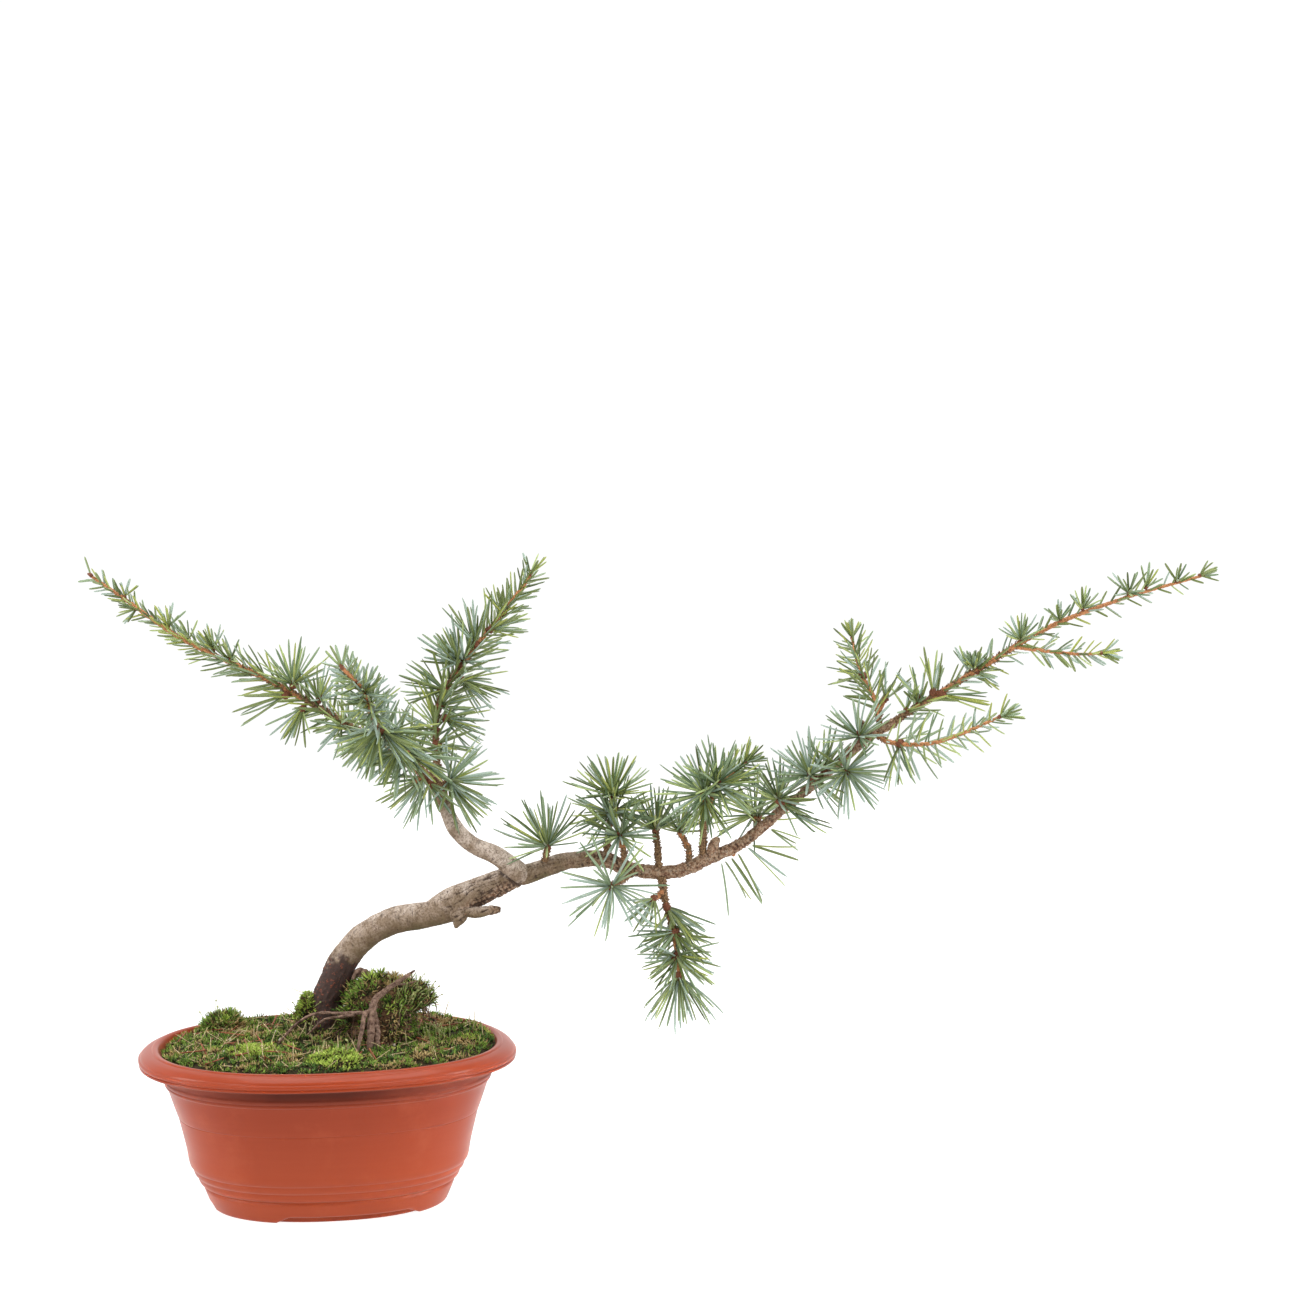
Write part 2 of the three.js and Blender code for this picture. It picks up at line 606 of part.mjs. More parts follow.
// A round limb along a route with a domed tip; grow widens it, and shape varies its radius
function limb(route, { sides, step }, grow = 0, shape = () => 1) {
  const stations = trace(route, step);
  let across = new THREE.Vector3(0, 1, 0);
  const rings = stations.map(({ point, along, radius }) => {
    across = across.clone().addScaledVector(along, -across.dot(along)).normalize();
    const up = along.clone().cross(across);
    return Array.from({ length: sides }, (_, i) => {
      const angle = (i / sides) * 2 * Math.PI;
      const reach = radius * shape(point, angle) + grow;
      const out = across.clone().multiplyScalar(reach * Math.cos(angle));
      return out.addScaledVector(up, reach * Math.sin(angle)).add(point);
    });
  });
  const tip = stations.at(-1);
  const ahead = tip.along.clone().multiplyScalar(DOME.rise * (tip.radius + grow));
  const domed = rings.at(-1).map((p) => p.clone().lerp(tip.point, DOME.narrowing).add(ahead));
  rings[0].forEach((p) => p.addScaledVector(stations[0].along, -grow));
  return solid(loft([...rings, domed]));
}

// The trunk's radius swells into low lobes where it meets the ground
function flare(point, angle) {
  const low = Math.exp(-(point.z - GROUND) / ROOT_FLARE.height);
  return 1 + low * (ROOT_FLARE.share + ROOT_FLARE.lobeShare * Math.cos(ROOT_FLARE.lobes * angle));
}

// The capsules that a limb fills, for the clearance test
function capsules(route) {
  const stations = trace(route, TEST_STEP);
  return stations.slice(1).map(({ point, radius }, i) => (
    { from: stations[i].point, to: point, radius: Math.max(radius, stations[i].radius) }
  ));
}

// Shortest distance between two line segments
function segmentGap(a, b) {
  const u = a.to.clone().sub(a.from);
  const v = b.to.clone().sub(b.from);
  const w = a.from.clone().sub(b.from);
  const uu = u.dot(u);
  const uv = u.dot(v);
  const vv = v.dot(v);
  const uw = u.dot(w);
  const vw = v.dot(w);
  const clamp = (value) => Math.min(1, Math.max(0, value));
  const spread = uu * vv - uv * uv;
  let s = spread > 1e-9 ? clamp((uv * vw - vv * uw) / spread) : 0;
  const t = clamp((uv * s + vw) / vv);
  s = clamp((uv * t - uw) / uu);
  return w.addScaledVector(u, s).addScaledVector(v, -t).length();
}

// The faces of a solid, each with its three corners, ready to grow needles from
function facesOf(body) {
  const { vertProperties, triVerts } = body.getMesh();
  const corner = (i) => new THREE.Vector3(...vertProperties.subarray(3 * i, 3 * i + 3));
  return Array.from({ length: triVerts.length / 3 }, (_, i) => (
    { corners: [...triVerts.subarray(3 * i, 3 * i + 3)].map(corner), bare: true }
  ));
}

// Where a needle leaves the wood: the outermost bare face on its line, and a small triangle within that face
function rootOn(faces, { root, direction, radius }) {
  const ray = new THREE.Ray(root, direction);
  let best = null;
  for (const face of faces) {
    const hit = face.bare && ray.intersectTriangle(...face.corners, false, new THREE.Vector3());
    const distance = hit ? hit.distanceTo(root) : Infinity;
    if (distance < 2 * BUD.radius && (!best || distance > best.distance)) best = { face, hit, distance };
  }
  if (!best) return null;
  const triangle = new THREE.Triangle(...best.face.corners);
  const wanted = EQUILATERAL_AREA * radius ** 2;
  const share = Math.min(NEEDLE.rootShare, Math.sqrt(wanted / triangle.getArea()));
  const outward = triangle.getNormal(new THREE.Vector3()).dot(direction);
  if (outward < NEEDLE.leastOutward || share ** 2 * triangle.getArea() < NEEDLE.thinnest ** 2) return null;
  const middle = triangle.getMidpoint(new THREE.Vector3());
  const base = middle.clone().lerp(best.hit, NEEDLE.rootMargin * (1 - share));
  const roots = best.face.corners.map((corner) => corner.clone().sub(middle).multiplyScalar(share).add(base));
  return { face: best.face, base, roots };
}

// Puts a needle on its face: a ring of faces round its root, and three faces up to its tip
function graft(faces, { face, roots }, tip) {
  const { corners } = face;
  face.bare = false;
  face.split = true;
  for (let i = 0; i < 3; i++) {
    const next = (i + 1) % 3;
    faces.push({ corners: [corners[i], corners[next], roots[next]], bare: true });
    faces.push({ corners: [corners[i], roots[next], roots[i]], bare: true });
    faces.push({ corners: [roots[i], roots[next], tip], bare: false });
  }
}

function geometryFromFaces(faces) {
  const corners = faces.filter((face) => !face.split).flatMap((face) => face.corners);
  return mergeVertices(closedGeometry(corners, corners.map((_, i) => i)), 1e-4);
}

// A direction at an angle from another one, turned round it
function tilted(direction, angle, turn) {
  const side = Math.abs(direction.z) < 0.9 ? new THREE.Vector3(0, 0, 1) : new THREE.Vector3(1, 0, 0);
  side.cross(direction).normalize();
  return direction.clone().applyAxisAngle(side, angle).applyAxisAngle(direction, turn);
}

// Offers for the needles of a fan: evenly spread over a cap round the way that the bud faces
function* fanOffers({ at, facing, length, count, widest }, random) {
  const root = new THREE.Vector3(...at);
  const axis = new THREE.Vector3(...facing).normalize();
  const cap = 1 - Math.cos(THREE.MathUtils.degToRad(widest));
  const offers = Math.round(count * NEEDLE.tries);
  for (let i = 0; i < offers; i++) {
    const share = (i * SPREAD[0]) % 1;
    const turn = 2 * Math.PI * i * SPREAD[1] + CHANCE.fan.turn * random();
    const direction = tilted(axis, Math.acos(1 - cap * share), turn);
    yield { root, direction, length: length * (CHANCE.fan.least + CHANCE.fan.more * random()) };
  }
}

// Offers for single needles that spiral along a stem, shorter towards its tip
function* rowOffers({ from, to, count, longest, shortest, angle }, stations, random) {
  const offers = Math.round(count * NEEDLE.tries);
  for (let i = 0; i < offers; i++) {
    const share = (i * SPREAD[0]) % 1;
    const place = THREE.MathUtils.lerp(from, to, share) * (stations.length - 1);
    const station = Math.min(Math.floor(place), stations.length - 2);
    const root = stations[station].point.clone().lerp(stations[station + 1].point, place - station);
    const tilt = THREE.MathUtils.degToRad(angle) + CHANCE.row.tilt * (random() - 0.5);
    const turn = 2 * Math.PI * i * SPREAD[1] + CHANCE.row.turn * random();
    const direction = tilted(stations[station].along, tilt, turn);
    const even = THREE.MathUtils.lerp(longest, shortest, share);
    yield { root, direction, length: even * (CHANCE.row.least + CHANCE.row.more * random()) };
  }
}

// The stems of a mass with the buds of its fans
function woodBody({ stems, fans }, grow = 0) {
  const wood = stems.map((route) => limb(route, SHOOT, grow)).reduce((all, stem) => all.add(stem));
  return fans.reduce((all, { at, length }) => {
    const radius = Math.min(BUD.radius, BUD.share * length) + grow;
    const bud = new THREE.OctahedronGeometry(radius, length > BUD.plainUnder ? 1 : 0);
    bud.translate(...at);
    return all.add(solidOfShape(bud));
  }, wood);
}

// Grows those of the offered needles that lie clear of every limb and of the needles that stand already
function growClear(faces, offers, count, mass, taken) {
  let grown = 0;
  for (const { root, direction, length } of offers) {
    if (grown >= count * NEEDLE.fullness) break;
    const radius = THREE.MathUtils.clamp(NEEDLE.slimness * length, NEEDLE.thinnest, NEEDLE.thickest);
    const place = rootOn(faces, { root, direction, radius });
    if (!place) continue;
    const tip = root.clone().addScaledVector(direction, length);
    const neck = place.base.clone().addScaledVector(direction, NEEDLE.neck);
    const middle = place.base.clone().addScaledVector(direction, length / 2);
    const pieces = [
      { from: place.base, to: neck, radius, part: 'root', mass },
      { from: neck, to: middle, radius: NEEDLE.shankShare * radius, part: 'shank', mass },
      { from: middle, to: tip, radius: NEEDLE.pointShare * radius, part: 'point', mass },
    ];
    const blocked = taken.some((other) => pieces.some((piece) => {
      const own = other.mass === mass;
      if (own && other.part === 'stem' && piece.part !== 'point') return false;
      if (own && other.part === 'root' && piece.part === 'root') return false;
      return segmentGap(piece, other) < piece.radius + other.radius + (own ? 0 : CLEARANCE);
    }));
    if (blocked) continue;
    graft(faces, place, tip);
    taken.push(...pieces);
    grown++;
  }
}

const tree = new THREE.Group();
tree.name = 'potted_blue_atlas_cedar';
const limbs = [];

function add(name, body, material) {
  const mesh = new THREE.Mesh(geometryOf(body), material);
  mesh.name = name;
  tree.add(mesh);
}

// Trunk and boughs, each cut clear of the one that carries it
const trunkShape = (grow) => limb(TRUNK, STOUT, grow, flare)
  .add(limb(TRUNK_STUB, BRANCH, grow)).add(limb(TRUNK_KNOB, BRANCH, grow));
const rightShape = (grow) => BOUGH_RIGHT_KNOBS.reduce(
  (body, route) => body.add(limb(route, ROOT, grow)),
  limb(BOUGH_RIGHT, BRANCH, grow),
);
const leftShape = (grow) => limb(BOUGH_LEFT, SHORT_BRANCH, grow);
const trunkRoom = trunkShape(CLEARANCE);
const rightRoom = rightShape(CLEARANCE);
const leftRoom = leftShape(CLEARANCE);
add('trunk', trunkShape(0), COLOURS.bark);
add('bough_right', largest(rightShape(0).subtract(trunkRoom)), COLOURS.bark);
add('bough_left', largest(leftShape(0).subtract(trunkRoom).subtract(rightRoom)), COLOURS.bark);
for (const route of [TRUNK, TRUNK_STUB, TRUNK_KNOB, BOUGH_RIGHT, BOUGH_LEFT, ...BOUGH_RIGHT_KNOBS]) {
  limbs.push(...capsules(route));
}

// Pot, soil, mound, moss and dead roots
const mound = moundBody();
const moundRoom = moundBody(CLEARANCE);
const rootNames = Object.keys(OLD_ROOTS);
const rootShape = (name, grow) => limb(OLD_ROOTS[name], ROOT, grow);
const clearOfRoots = (body, names) => (
  names.reduce((left, name) => left.subtract(rootShape(name, CLEARANCE)), body.subtract(trunkRoom))
);
add('pot', potBody(), COLOURS.pot);
add('soil', soilBody().subtract(trunkRoom).subtract(moundRoom), COLOURS.soil);
add('root_mound', largest(clearOfRoots(mound, rootNames)), COLOURS.moss);
add('moss', largest(clearOfRoots(mossBody().subtract(moundRoom), rootNames)), COLOURS.moss);
rootNames.forEach((name, i) => {
  add(name, largest(clearOfRoots(rootShape(name, 0), rootNames.slice(0, i))), COLOURS.root);
});

// Needle masses, each on its own stems, cut clear of what carries it
const rooms = [trunkRoom, rightRoom, leftRoom];
for (const [name, mass] of Object.entries(MASSES)) {
  mass.wood = largest(rooms.reduce((left, room) => left.subtract(room), woodBody(mass)));
  rooms.push(woodBody(mass, CLEARANCE));
  for (const route of mass.stems) {
    limbs.push(...capsules(route).map((capsule) => ({ ...capsule, part: 'stem', mass: name })));
  }
}
for (const [name, mass] of Object.entries(MASSES)) {
  const random = seeded(mass.seed);
  const faces = facesOf(mass.wood);
  for (const fan of mass.fans) growClear(faces, fanOffers(fan, random), fan.count, name, limbs);
  for (const row of mass.rows ?? []) {
    const stations = trace(mass.stems[row.stem], ROW_STEP);
    growClear(faces, rowOffers(row, stations, random), row.count, name, limbs);
  }
  const mesh = new THREE.Mesh(geometryFromFaces(faces), COLOURS.needles);
  mesh.name = name;
  tree.add(mesh);
}

export default tree;
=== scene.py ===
"""A young blue atlas cedar trained as a bonsai, in an oval terracotta-coloured pot of mossy soil.

Sizes are in millimetres in the part's own frame: the origin is the middle of the pot's underside, +X runs
along the tree's long spread, +Y points away from its front and +Z is up. Meshes are written in metres.
"""

import logging
import math
from collections.abc import Mapping, Sequence
from dataclasses import dataclass
from enum import Enum, IntEnum
from functools import cached_property

import bpy
import numpy as np
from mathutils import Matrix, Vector
from mathutils.kdtree import KDTree


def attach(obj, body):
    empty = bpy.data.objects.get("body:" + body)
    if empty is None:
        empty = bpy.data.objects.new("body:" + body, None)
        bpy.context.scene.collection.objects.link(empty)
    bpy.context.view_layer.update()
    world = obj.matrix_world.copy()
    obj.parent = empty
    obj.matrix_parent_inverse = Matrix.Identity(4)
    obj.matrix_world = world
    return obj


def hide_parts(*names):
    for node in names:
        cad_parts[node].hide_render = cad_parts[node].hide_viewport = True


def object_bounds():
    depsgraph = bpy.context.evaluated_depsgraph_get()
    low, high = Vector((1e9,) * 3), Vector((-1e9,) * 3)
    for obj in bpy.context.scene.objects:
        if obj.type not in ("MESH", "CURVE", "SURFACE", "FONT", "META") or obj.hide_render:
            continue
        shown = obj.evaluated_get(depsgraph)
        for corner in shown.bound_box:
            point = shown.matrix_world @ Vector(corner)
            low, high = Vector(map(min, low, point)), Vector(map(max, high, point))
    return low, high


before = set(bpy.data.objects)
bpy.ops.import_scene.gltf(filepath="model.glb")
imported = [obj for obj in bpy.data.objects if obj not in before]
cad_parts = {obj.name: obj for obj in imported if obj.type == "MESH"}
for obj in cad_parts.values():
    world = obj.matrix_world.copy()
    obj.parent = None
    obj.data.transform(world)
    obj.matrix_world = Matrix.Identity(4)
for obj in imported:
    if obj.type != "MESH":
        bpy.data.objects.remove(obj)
CAD_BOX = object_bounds()

LOG = logging.getLogger("potted_cedar")
METRE = 0.001
BODY = "root"
FULL_TURN = 2 * math.pi
WHITE = (1.0, 1.0, 1.0, 1.0)
GOLDEN = (0.7548776662, 0.569840291)
Array = np.ndarray
Random = np.random.Generator
Material = bpy.types.Material
Object = bpy.types.Object
Socket = bpy.types.NodeSocket
NodeTree = bpy.types.NodeTree
Point = tuple[float, float, float]
Bend = tuple[float, float, float, float]


def linear(colour: str) -> tuple[float, ...]:
    """Turns an sRGB colour, #rrggbb, into the linear red, green, blue and alpha that a shader takes."""
    channels = (int(colour[i:i + 2], 16) / 255 for i in (1, 3, 5))
    return (*(c / 12.92 if c <= 0.04045 else ((c + 0.055) / 1.055) ** 2.4 for c in channels), 1.0)


def per_millimetre(size: float) -> float:
    """Returns the scale of a pattern whose grains are that many millimetres wide."""
    return 1 / (size * METRE)


def add_node(tree: NodeTree, kind: str, settings: Mapping, output: str | int = 0) -> Socket:
    """Adds a shader node with its settings and links.

    Args:
        tree: The node tree of the material or world.
        kind: The node's Blender type, less its first word.
        settings: Values by attribute name, or by the name or number of an input. An output socket is linked
            to the input. The stops of a colour ramp are pairs of a place and a colour.
        output: The name or number of the output that is wanted.

    Returns:
        That output of the new node.
    """
    node = tree.nodes.new("ShaderNode" + kind)
    for name, value in settings.items():
        if name == "stops":
            ramp = node.color_ramp.elements
            for i, (place, colour) in enumerate(value):
                stop = ramp[i] if i < 2 else ramp.new(place)
                stop.position, stop.color = place, linear(colour)
        elif isinstance(value, Socket):
            tree.links.new(value, node.inputs[name])
        elif isinstance(name, str) and hasattr(node, name):
            setattr(node, name, value)
        else:
            node.inputs[name].default_value = value
    return node.outputs[output]


def new_surface(name: str, settings: Mapping) -> tuple[Material, NodeTree]:
    """Starts a material with one shader.

    Args:
        name: The material's name.
        settings: Constants for the shader's own sockets.

    Returns:
        The material and its node tree.
    """
    material = bpy.data.materials.new(name)
    material.use_nodes = True
    tree = material.node_tree
    for socket, value in settings.items():
        tree.nodes["Principled BSDF"].inputs[socket].default_value = value
    return material, tree


def feed_shader(tree: NodeTree, outputs: Mapping[str, Socket]) -> None:
    """Links each output to the socket of that name on a material's shader."""
    for name, output in outputs.items():
        tree.links.new(output, tree.nodes["Principled BSDF"].inputs[name])


@dataclass(frozen=True)
class MouldedPolypropylene:
    """Injection-moulded polypropylene, coloured through: a satin skin that picks up soft window-like
    reflections at its sides, glossier along the rim, with faint flow marks round the pot and a little dust.
    Painted shade darkens the wall towards the top, and darkens it more in a band under the rim, strongest at
    the front and weaker to each side; that band is also made matt. Heights and the painted shade's reach to
    each side are in millimetres."""

    colour: str = "#943c1d"
    # Painted shade: the wall darkens from the colour above to this one towards the top.
    shaded_upper_colour: str = "#843013"
    rim_colour: str = "#8f3310"
    dust_colour: str = "#b05a3a"
    # Colour of the painted shade under the rim.
    under_rim_shade_colour: str = "#2e0d05"
    # Heights over which the wall is painted darker, as painted shade.
    fade: tuple[float, float] = (14.0, 66.0)
    rim: tuple[float, float] = (75.8, 76.5)
    # Painted shade under the rim: where it starts, where it is full and where it stops, and its reach to each
    # side.
    under_rim_shade_heights: tuple[float, float, float] = (63.5, 72.5, 76.2)
    under_rim_shade_reach: tuple[float, float] = (18.0, 60.0)
    roughness: tuple[float, float] = (0.25, 0.42)

    def build(self) -> Material:
        """Builds the material.

        Returns:
            The material.
        """
        material, tree = new_surface("moulded_polypropylene", {
            "IOR": 1.49, "Specular IOR Level": 0.2, "Coat Roughness": 0.1, "Sheen Weight": 0.06,
            "Sheen Roughness": 0.5,
        })
        place = add_node(tree, "TexCoord", {}, "Object")
        height = add_node(tree, "SeparateXYZ", {"Vector": place}, "Z")
        flat = add_node(tree, "Mapping", {"Scale": (0.05, 0.05, 1.0), "Vector": place})
        flow = add_node(tree, "TexNoise", {"Scale": per_millimetre(2.4), "Detail": 3.0, "Vector": flat})
        # The first mask darkens the wall towards the top as painted shade; the second marks the rim.
        upper, edge = (
            add_node(tree, "MapRange", {"From Min": start, "From Max": end, "Value": height})
            for start, end in (metres(self.fade), metres(self.rim))
        )
        # Faint flow marks over the painted shade.
        flow_marks_and_shade = add_node(tree, "Math", {"operation": "MULTIPLY_ADD", 0: flow, 1: 0.3, 2: upper})
        stops = ((0.15, self.colour), (1.0, self.shaded_upper_colour))
        tone = add_node(tree, "ValToRGB", {"stops": stops, "Fac": flow_marks_and_shade})
        dust = add_node(tree, "TexNoise", {
            "Scale": per_millimetre(30), "Detail": 8.0, "Roughness": 0.7, "Vector": place,
        })
        dusty = add_node(tree, "MapRange", {"From Min": 0.55, "From Max": 0.8, "To Max": 0.22, "Value": dust})
        # Painted shade under the rim: dark just below the lip, fading downwards, and weaker towards each end.
        low, full, top = metres(self.under_rim_shade_heights)
        below, above = (
            add_node(tree, "MapRange", {
                "interpolation_type": "SMOOTHSTEP", "From Min": start, "From Max": end, "To Max": most,
                "Value": height,
            })
            for start, end, most in ((low, full, 0.78), (top, top - 0.6 * METRE, 1.0))
        )
        across = add_node(tree, "Math", {"operation": "ABSOLUTE", 0: height.node.outputs["X"]})
        start, end = metres(self.under_rim_shade_reach)
        near = add_node(tree, "MapRange", {
            "From Min": start, "From Max": end, "To Min": 1.0, "To Max": 0.3, "Value": across,
        })
        under_rim_shade = add_node(tree, "Math", {"operation": "MULTIPLY", 0: below, 1: above})
        under_rim_shade = add_node(tree, "Math", {"operation": "MULTIPLY", 0: under_rim_shade, 1: near})
        for share, colour in ((edge, self.rim_colour), (dusty, self.dust_colour), (under_rim_shade, self.under_rim_shade_colour)):
            tone = add_node(tree, "Mix", {"data_type": "RGBA", 0: share, 6: tone, 7: linear(colour)}, 2)
        glossy, matt = self.roughness
        rough = add_node(tree, "MapRange", {"To Min": glossy, "To Max": matt, "Value": dust})
        # The band of painted shade is also made matt.
        rough = add_node(tree, "Math", {"operation": "MULTIPLY_ADD", 0: under_rim_shade, 1: 0.6, 2: rough})
        pebbles = add_node(tree, "TexNoise", {"Scale": per_millimetre(0.5), "Detail": 2.0, "Vector": place})
        bump = add_node(tree, "Bump", {"Strength": 0.06, "Distance": 0.1 * METRE, "Height": pebbles})
        coat = add_node(tree, "Math", {"operation": "MULTIPLY", 0: edge, 1: 0.16})
        feed_shader(tree, {"Base Color": tone, "Roughness": rough, "Coat Weight": coat, "Normal": bump})
        return material


@dataclass(frozen=True)
class LivingBark:
    """Living cedar bark, grown: matt, finely wrinkled across the limb, pinkish grey on the trunk, scaly and
    tan on the long bough, and damp dark red-brown where the moss has kept the foot wet. Faces that look up
    are painted paler as painted light, and faces that look down darker and olive, partly algae and partly
    painted shade; the bark's hollows are darkened as painted shade."""

    grey: str = "#94816e"
    # Pale tone: painted on faces that look up as painted light, and also a tone of the scales.
    pale: str = "#cabaac"
    shade: str = "#79664f"
    # Olive of algae on faces that look down, deepened there as painted shade.
    algae_and_shade: str = "#665c3f"
    tan: str = "#b1967b"
    scale: str = "#483226"
    rust: str = "#86604a"
    # Colour painted into the bark's hollows as painted shade.
    hollow_shade: str = "#3a2a22"
    foot: str = "#453530"
    foot_fleck: str = "#8f4e39"
    lenticel: str = "#5c4439"
    speck: str = "#5f4b39"

    def build(self) -> Material:
        """Builds the material. The mesh's own values say where the painted shade of the hollows, the foot
        and the scales are, and which way each face looks.

        Returns:
            The material.
        """
        material, tree = new_surface("living_cedar_bark", {"Roughness": 0.82, "Specular IOR Level": 0.3})
        place = add_node(tree, "TexCoord", {}, "Object")
        # The relief value holds the painted shade of the bark's hollows; the side value tells which way each
        # face looks.
        relief, foot, scaly, side = (
            add_node(tree, "Attribute", {"attribute_name": name}, "Fac")
            for name in ("relief", "foot", "scaly", "side")
        )
        blotch, fleck, specks = (
            add_node(tree, "TexNoise", {
                "Scale": per_millimetre(size), "Detail": detail, "Roughness": roughness, "Vector": place,
            })
            for size, detail, roughness in ((7, 6.0, 0.62), (1.6, 5.0, 0.7), (1.1, 4.0, 0.75))
        )
        # Faces that look up are painted paler, as painted light; faces that look down darker and olive,
        # partly algae and partly painted shade.
        lean = add_node(tree, "Math", {"operation": "MULTIPLY_ADD", 0: side, 1: 0.62, 2: -0.28})
        mottle_and_lit_side = add_node(tree, "Math", {"operation": "MULTIPLY_ADD", 0: blotch, 1: 0.95, 2: lean})
        tone, rough, wet = (
            add_node(tree, "ValToRGB", {"stops": stops, "Fac": pattern})
            for pattern, stops in (
                (mottle_and_lit_side, ((0.18, self.pale), (0.86, self.algae_and_shade), (0.42, self.grey), (0.62, self.shade))),
                (fleck, ((0.33, self.scale), (0.7, self.pale), (0.44, self.rust), (0.55, self.tan))),
                (fleck, ((0.5, self.foot), (0.64, self.foot_fleck), (0.57, self.foot))),
            )
        )
        # Lenticel spots and specks are marks of the bark; the last mask darkens the bark's hollows as painted
        # shade.
        spotted, specked, cracked = (
            add_node(tree, "MapRange", {"From Min": start, "From Max": end, "To Max": most, "Value": pattern})
            for pattern, start, end, most in (
                (fleck, 0.57, 0.66, 0.75), (specks, 0.47, 0.62, 0.75), (relief, 0.4, 0.08, 0.85),
            )
        )
        layers = (
            (scaly, rough), (spotted, linear(self.lenticel)), (specked, linear(self.speck)), (foot, wet),
            (cracked, linear(self.hollow_shade)),
        )
        for share, over in layers:
            tone = add_node(tree, "Mix", {"data_type": "RGBA", 0: share, 6: tone, 7: over}, 2)
        bump = add_node(tree, "Bump", {"Strength": 0.8, "Distance": 0.5 * METRE, "Height": fleck})
        feed_shader(tree, {"Base Color": tone, "Normal": bump})
        return material


@dataclass(frozen=True)
class Grown:
    """A matt grown surface in two tones, such as shoot bark, dead root, leaf or earth: the grains of the
    darker tone lie in the lighter one at a real size."""

    name: str
    light: str
    dark: str
    grain: float
    roughness: float = 0.8
    bump: float = 0.4
    stretch: Point = (1, 1, 1)

    def build(self) -> Material:
        """Builds the material.

        Returns:
            The material.
        """
        material, tree = new_surface(self.name, {"Roughness": self.roughness, "Specular IOR Level": 0.3})
        place = add_node(tree, "TexCoord", {}, "Object")
        along = add_node(tree, "Mapping", {"Scale": self.stretch, "Vector": place})
        grain = add_node(tree, "TexNoise", {
            "Scale": per_millimetre(self.grain), "Detail": 5.0, "Roughness": 0.65, "Vector": along,
        })
        stops = ((0.38, self.dark), (0.62, self.light))
        tone = add_node(tree, "ValToRGB", {"stops": stops, "Fac": grain})
        bump = add_node(tree, "Bump", {"Strength": self.bump, "Distance": 0.3 * METRE, "Height": grain})
        feed_shader(tree, {"Base Color": tone, "Normal": bump})
        return material


class Finish(Enum):
    """The grown finishes of the plant, its soil and its litter."""

    SPUR_BARK = Grown("scaly_spur_bark", "#a5835f", "#4a3527", 0.8, 0.8, 0.9)
    SHOOT_BARK = Grown("young_shoot_bark", "#c88a5a", "#945f3e", 0.9, 0.65)
    BUD_SCALES = Grown("bud_scales", "#8a5238", "#52301f", 0.5, 0.6)
    SOIL = Grown("damp_potting_soil", "#4a3527", "#1c130e", 1.4, 0.95, 0.9)
    # Old moss thatch, made very dark so that it also stands for painted shade in the gaps between moss
    # leaves.
    THATCH = Grown("shaded_moss_thatch", "#3d3518", "#140f08", 1.1, 0.95, 0.9)
    ROOTY_EARTH = Grown("rooty_earth", "#7a5b40", "#2a1c12", 1.3, 0.95, 0.9)
    DEAD_ROOT = Grown("weathered_dead_root", "#8d7261", "#453026", 1.0, stretch=(0.5, 0.5, 0.5))
    FALLEN_NEEDLE = Grown("fallen_needles", "#9c5a3e", "#6f3a24", 2.0, 0.6)
    STRAW = Grown("bleached_straw", "#d8c69c", "#ab9468", 1.5)
    CAPSULE = Grown("moss_capsules", "#b3b57c", "#7d8a4b", 0.8, 0.6)
    GRIT = Grown("perlite_grit", "#d2c9b6", "#a39a86", 1.0)
    MOSS_MID = Grown("mid_green_moss", "#93b04c", "#57752b", 1.2, 0.6, 0.0)
    MOSS_DEEP = Grown("deep_green_moss", "#648640", "#304a1a", 1.2, 0.6, 0.0)
    MOSS_BRIGHT = Grown("bright_cushion_moss", "#c6d868", "#93b045", 1.2, 0.6, 0.0)
    MOSS_DEAD = Grown("dead_moss", "#6f5236", "#35261a", 1.2, 0.9, 0.0)
    MOSS_SHADED = Grown("shaded_moss", "#46502a", "#1f2812", 1.0, 0.9, 0.0)
    MOSS_DRY = Grown("dry_moss", "#cfb880", "#94794c", 1.2, 0.8, 0.0)

    def build(self) -> Material:
        """Builds the material."""
        return self.value.build()


@dataclass(frozen=True)
class NeedleSkin:
    """The waxy skin of a cedar needle, grown: a grey-blue bloom in fine lines on the faces that look up,
    and a darker green on the faces that look down, their own green darkened in part as painted shade."""

    name: str
    colour: str
    line_colour: str

    def build(self) -> Material:
        """Builds the material.

        Returns:
            The material.
        """
        material, tree = new_surface(self.name, {
            "Roughness": 0.46, "Specular IOR Level": 0.42, "Sheen Weight": 0.12, "Sheen Roughness": 0.5,
        })
        place = add_node(tree, "TexCoord", {}, "Object")
        lines = add_node(tree, "TexNoise", {"Scale": per_millimetre(0.35), "Detail": 2.0, "Vector": place})
        stops = ((0.4, self.line_colour), (0.6, self.colour))
        feed_shader(tree, {"Base Color": add_node(tree, "ValToRGB", {"stops": stops, "Fac": lines})})
        return material


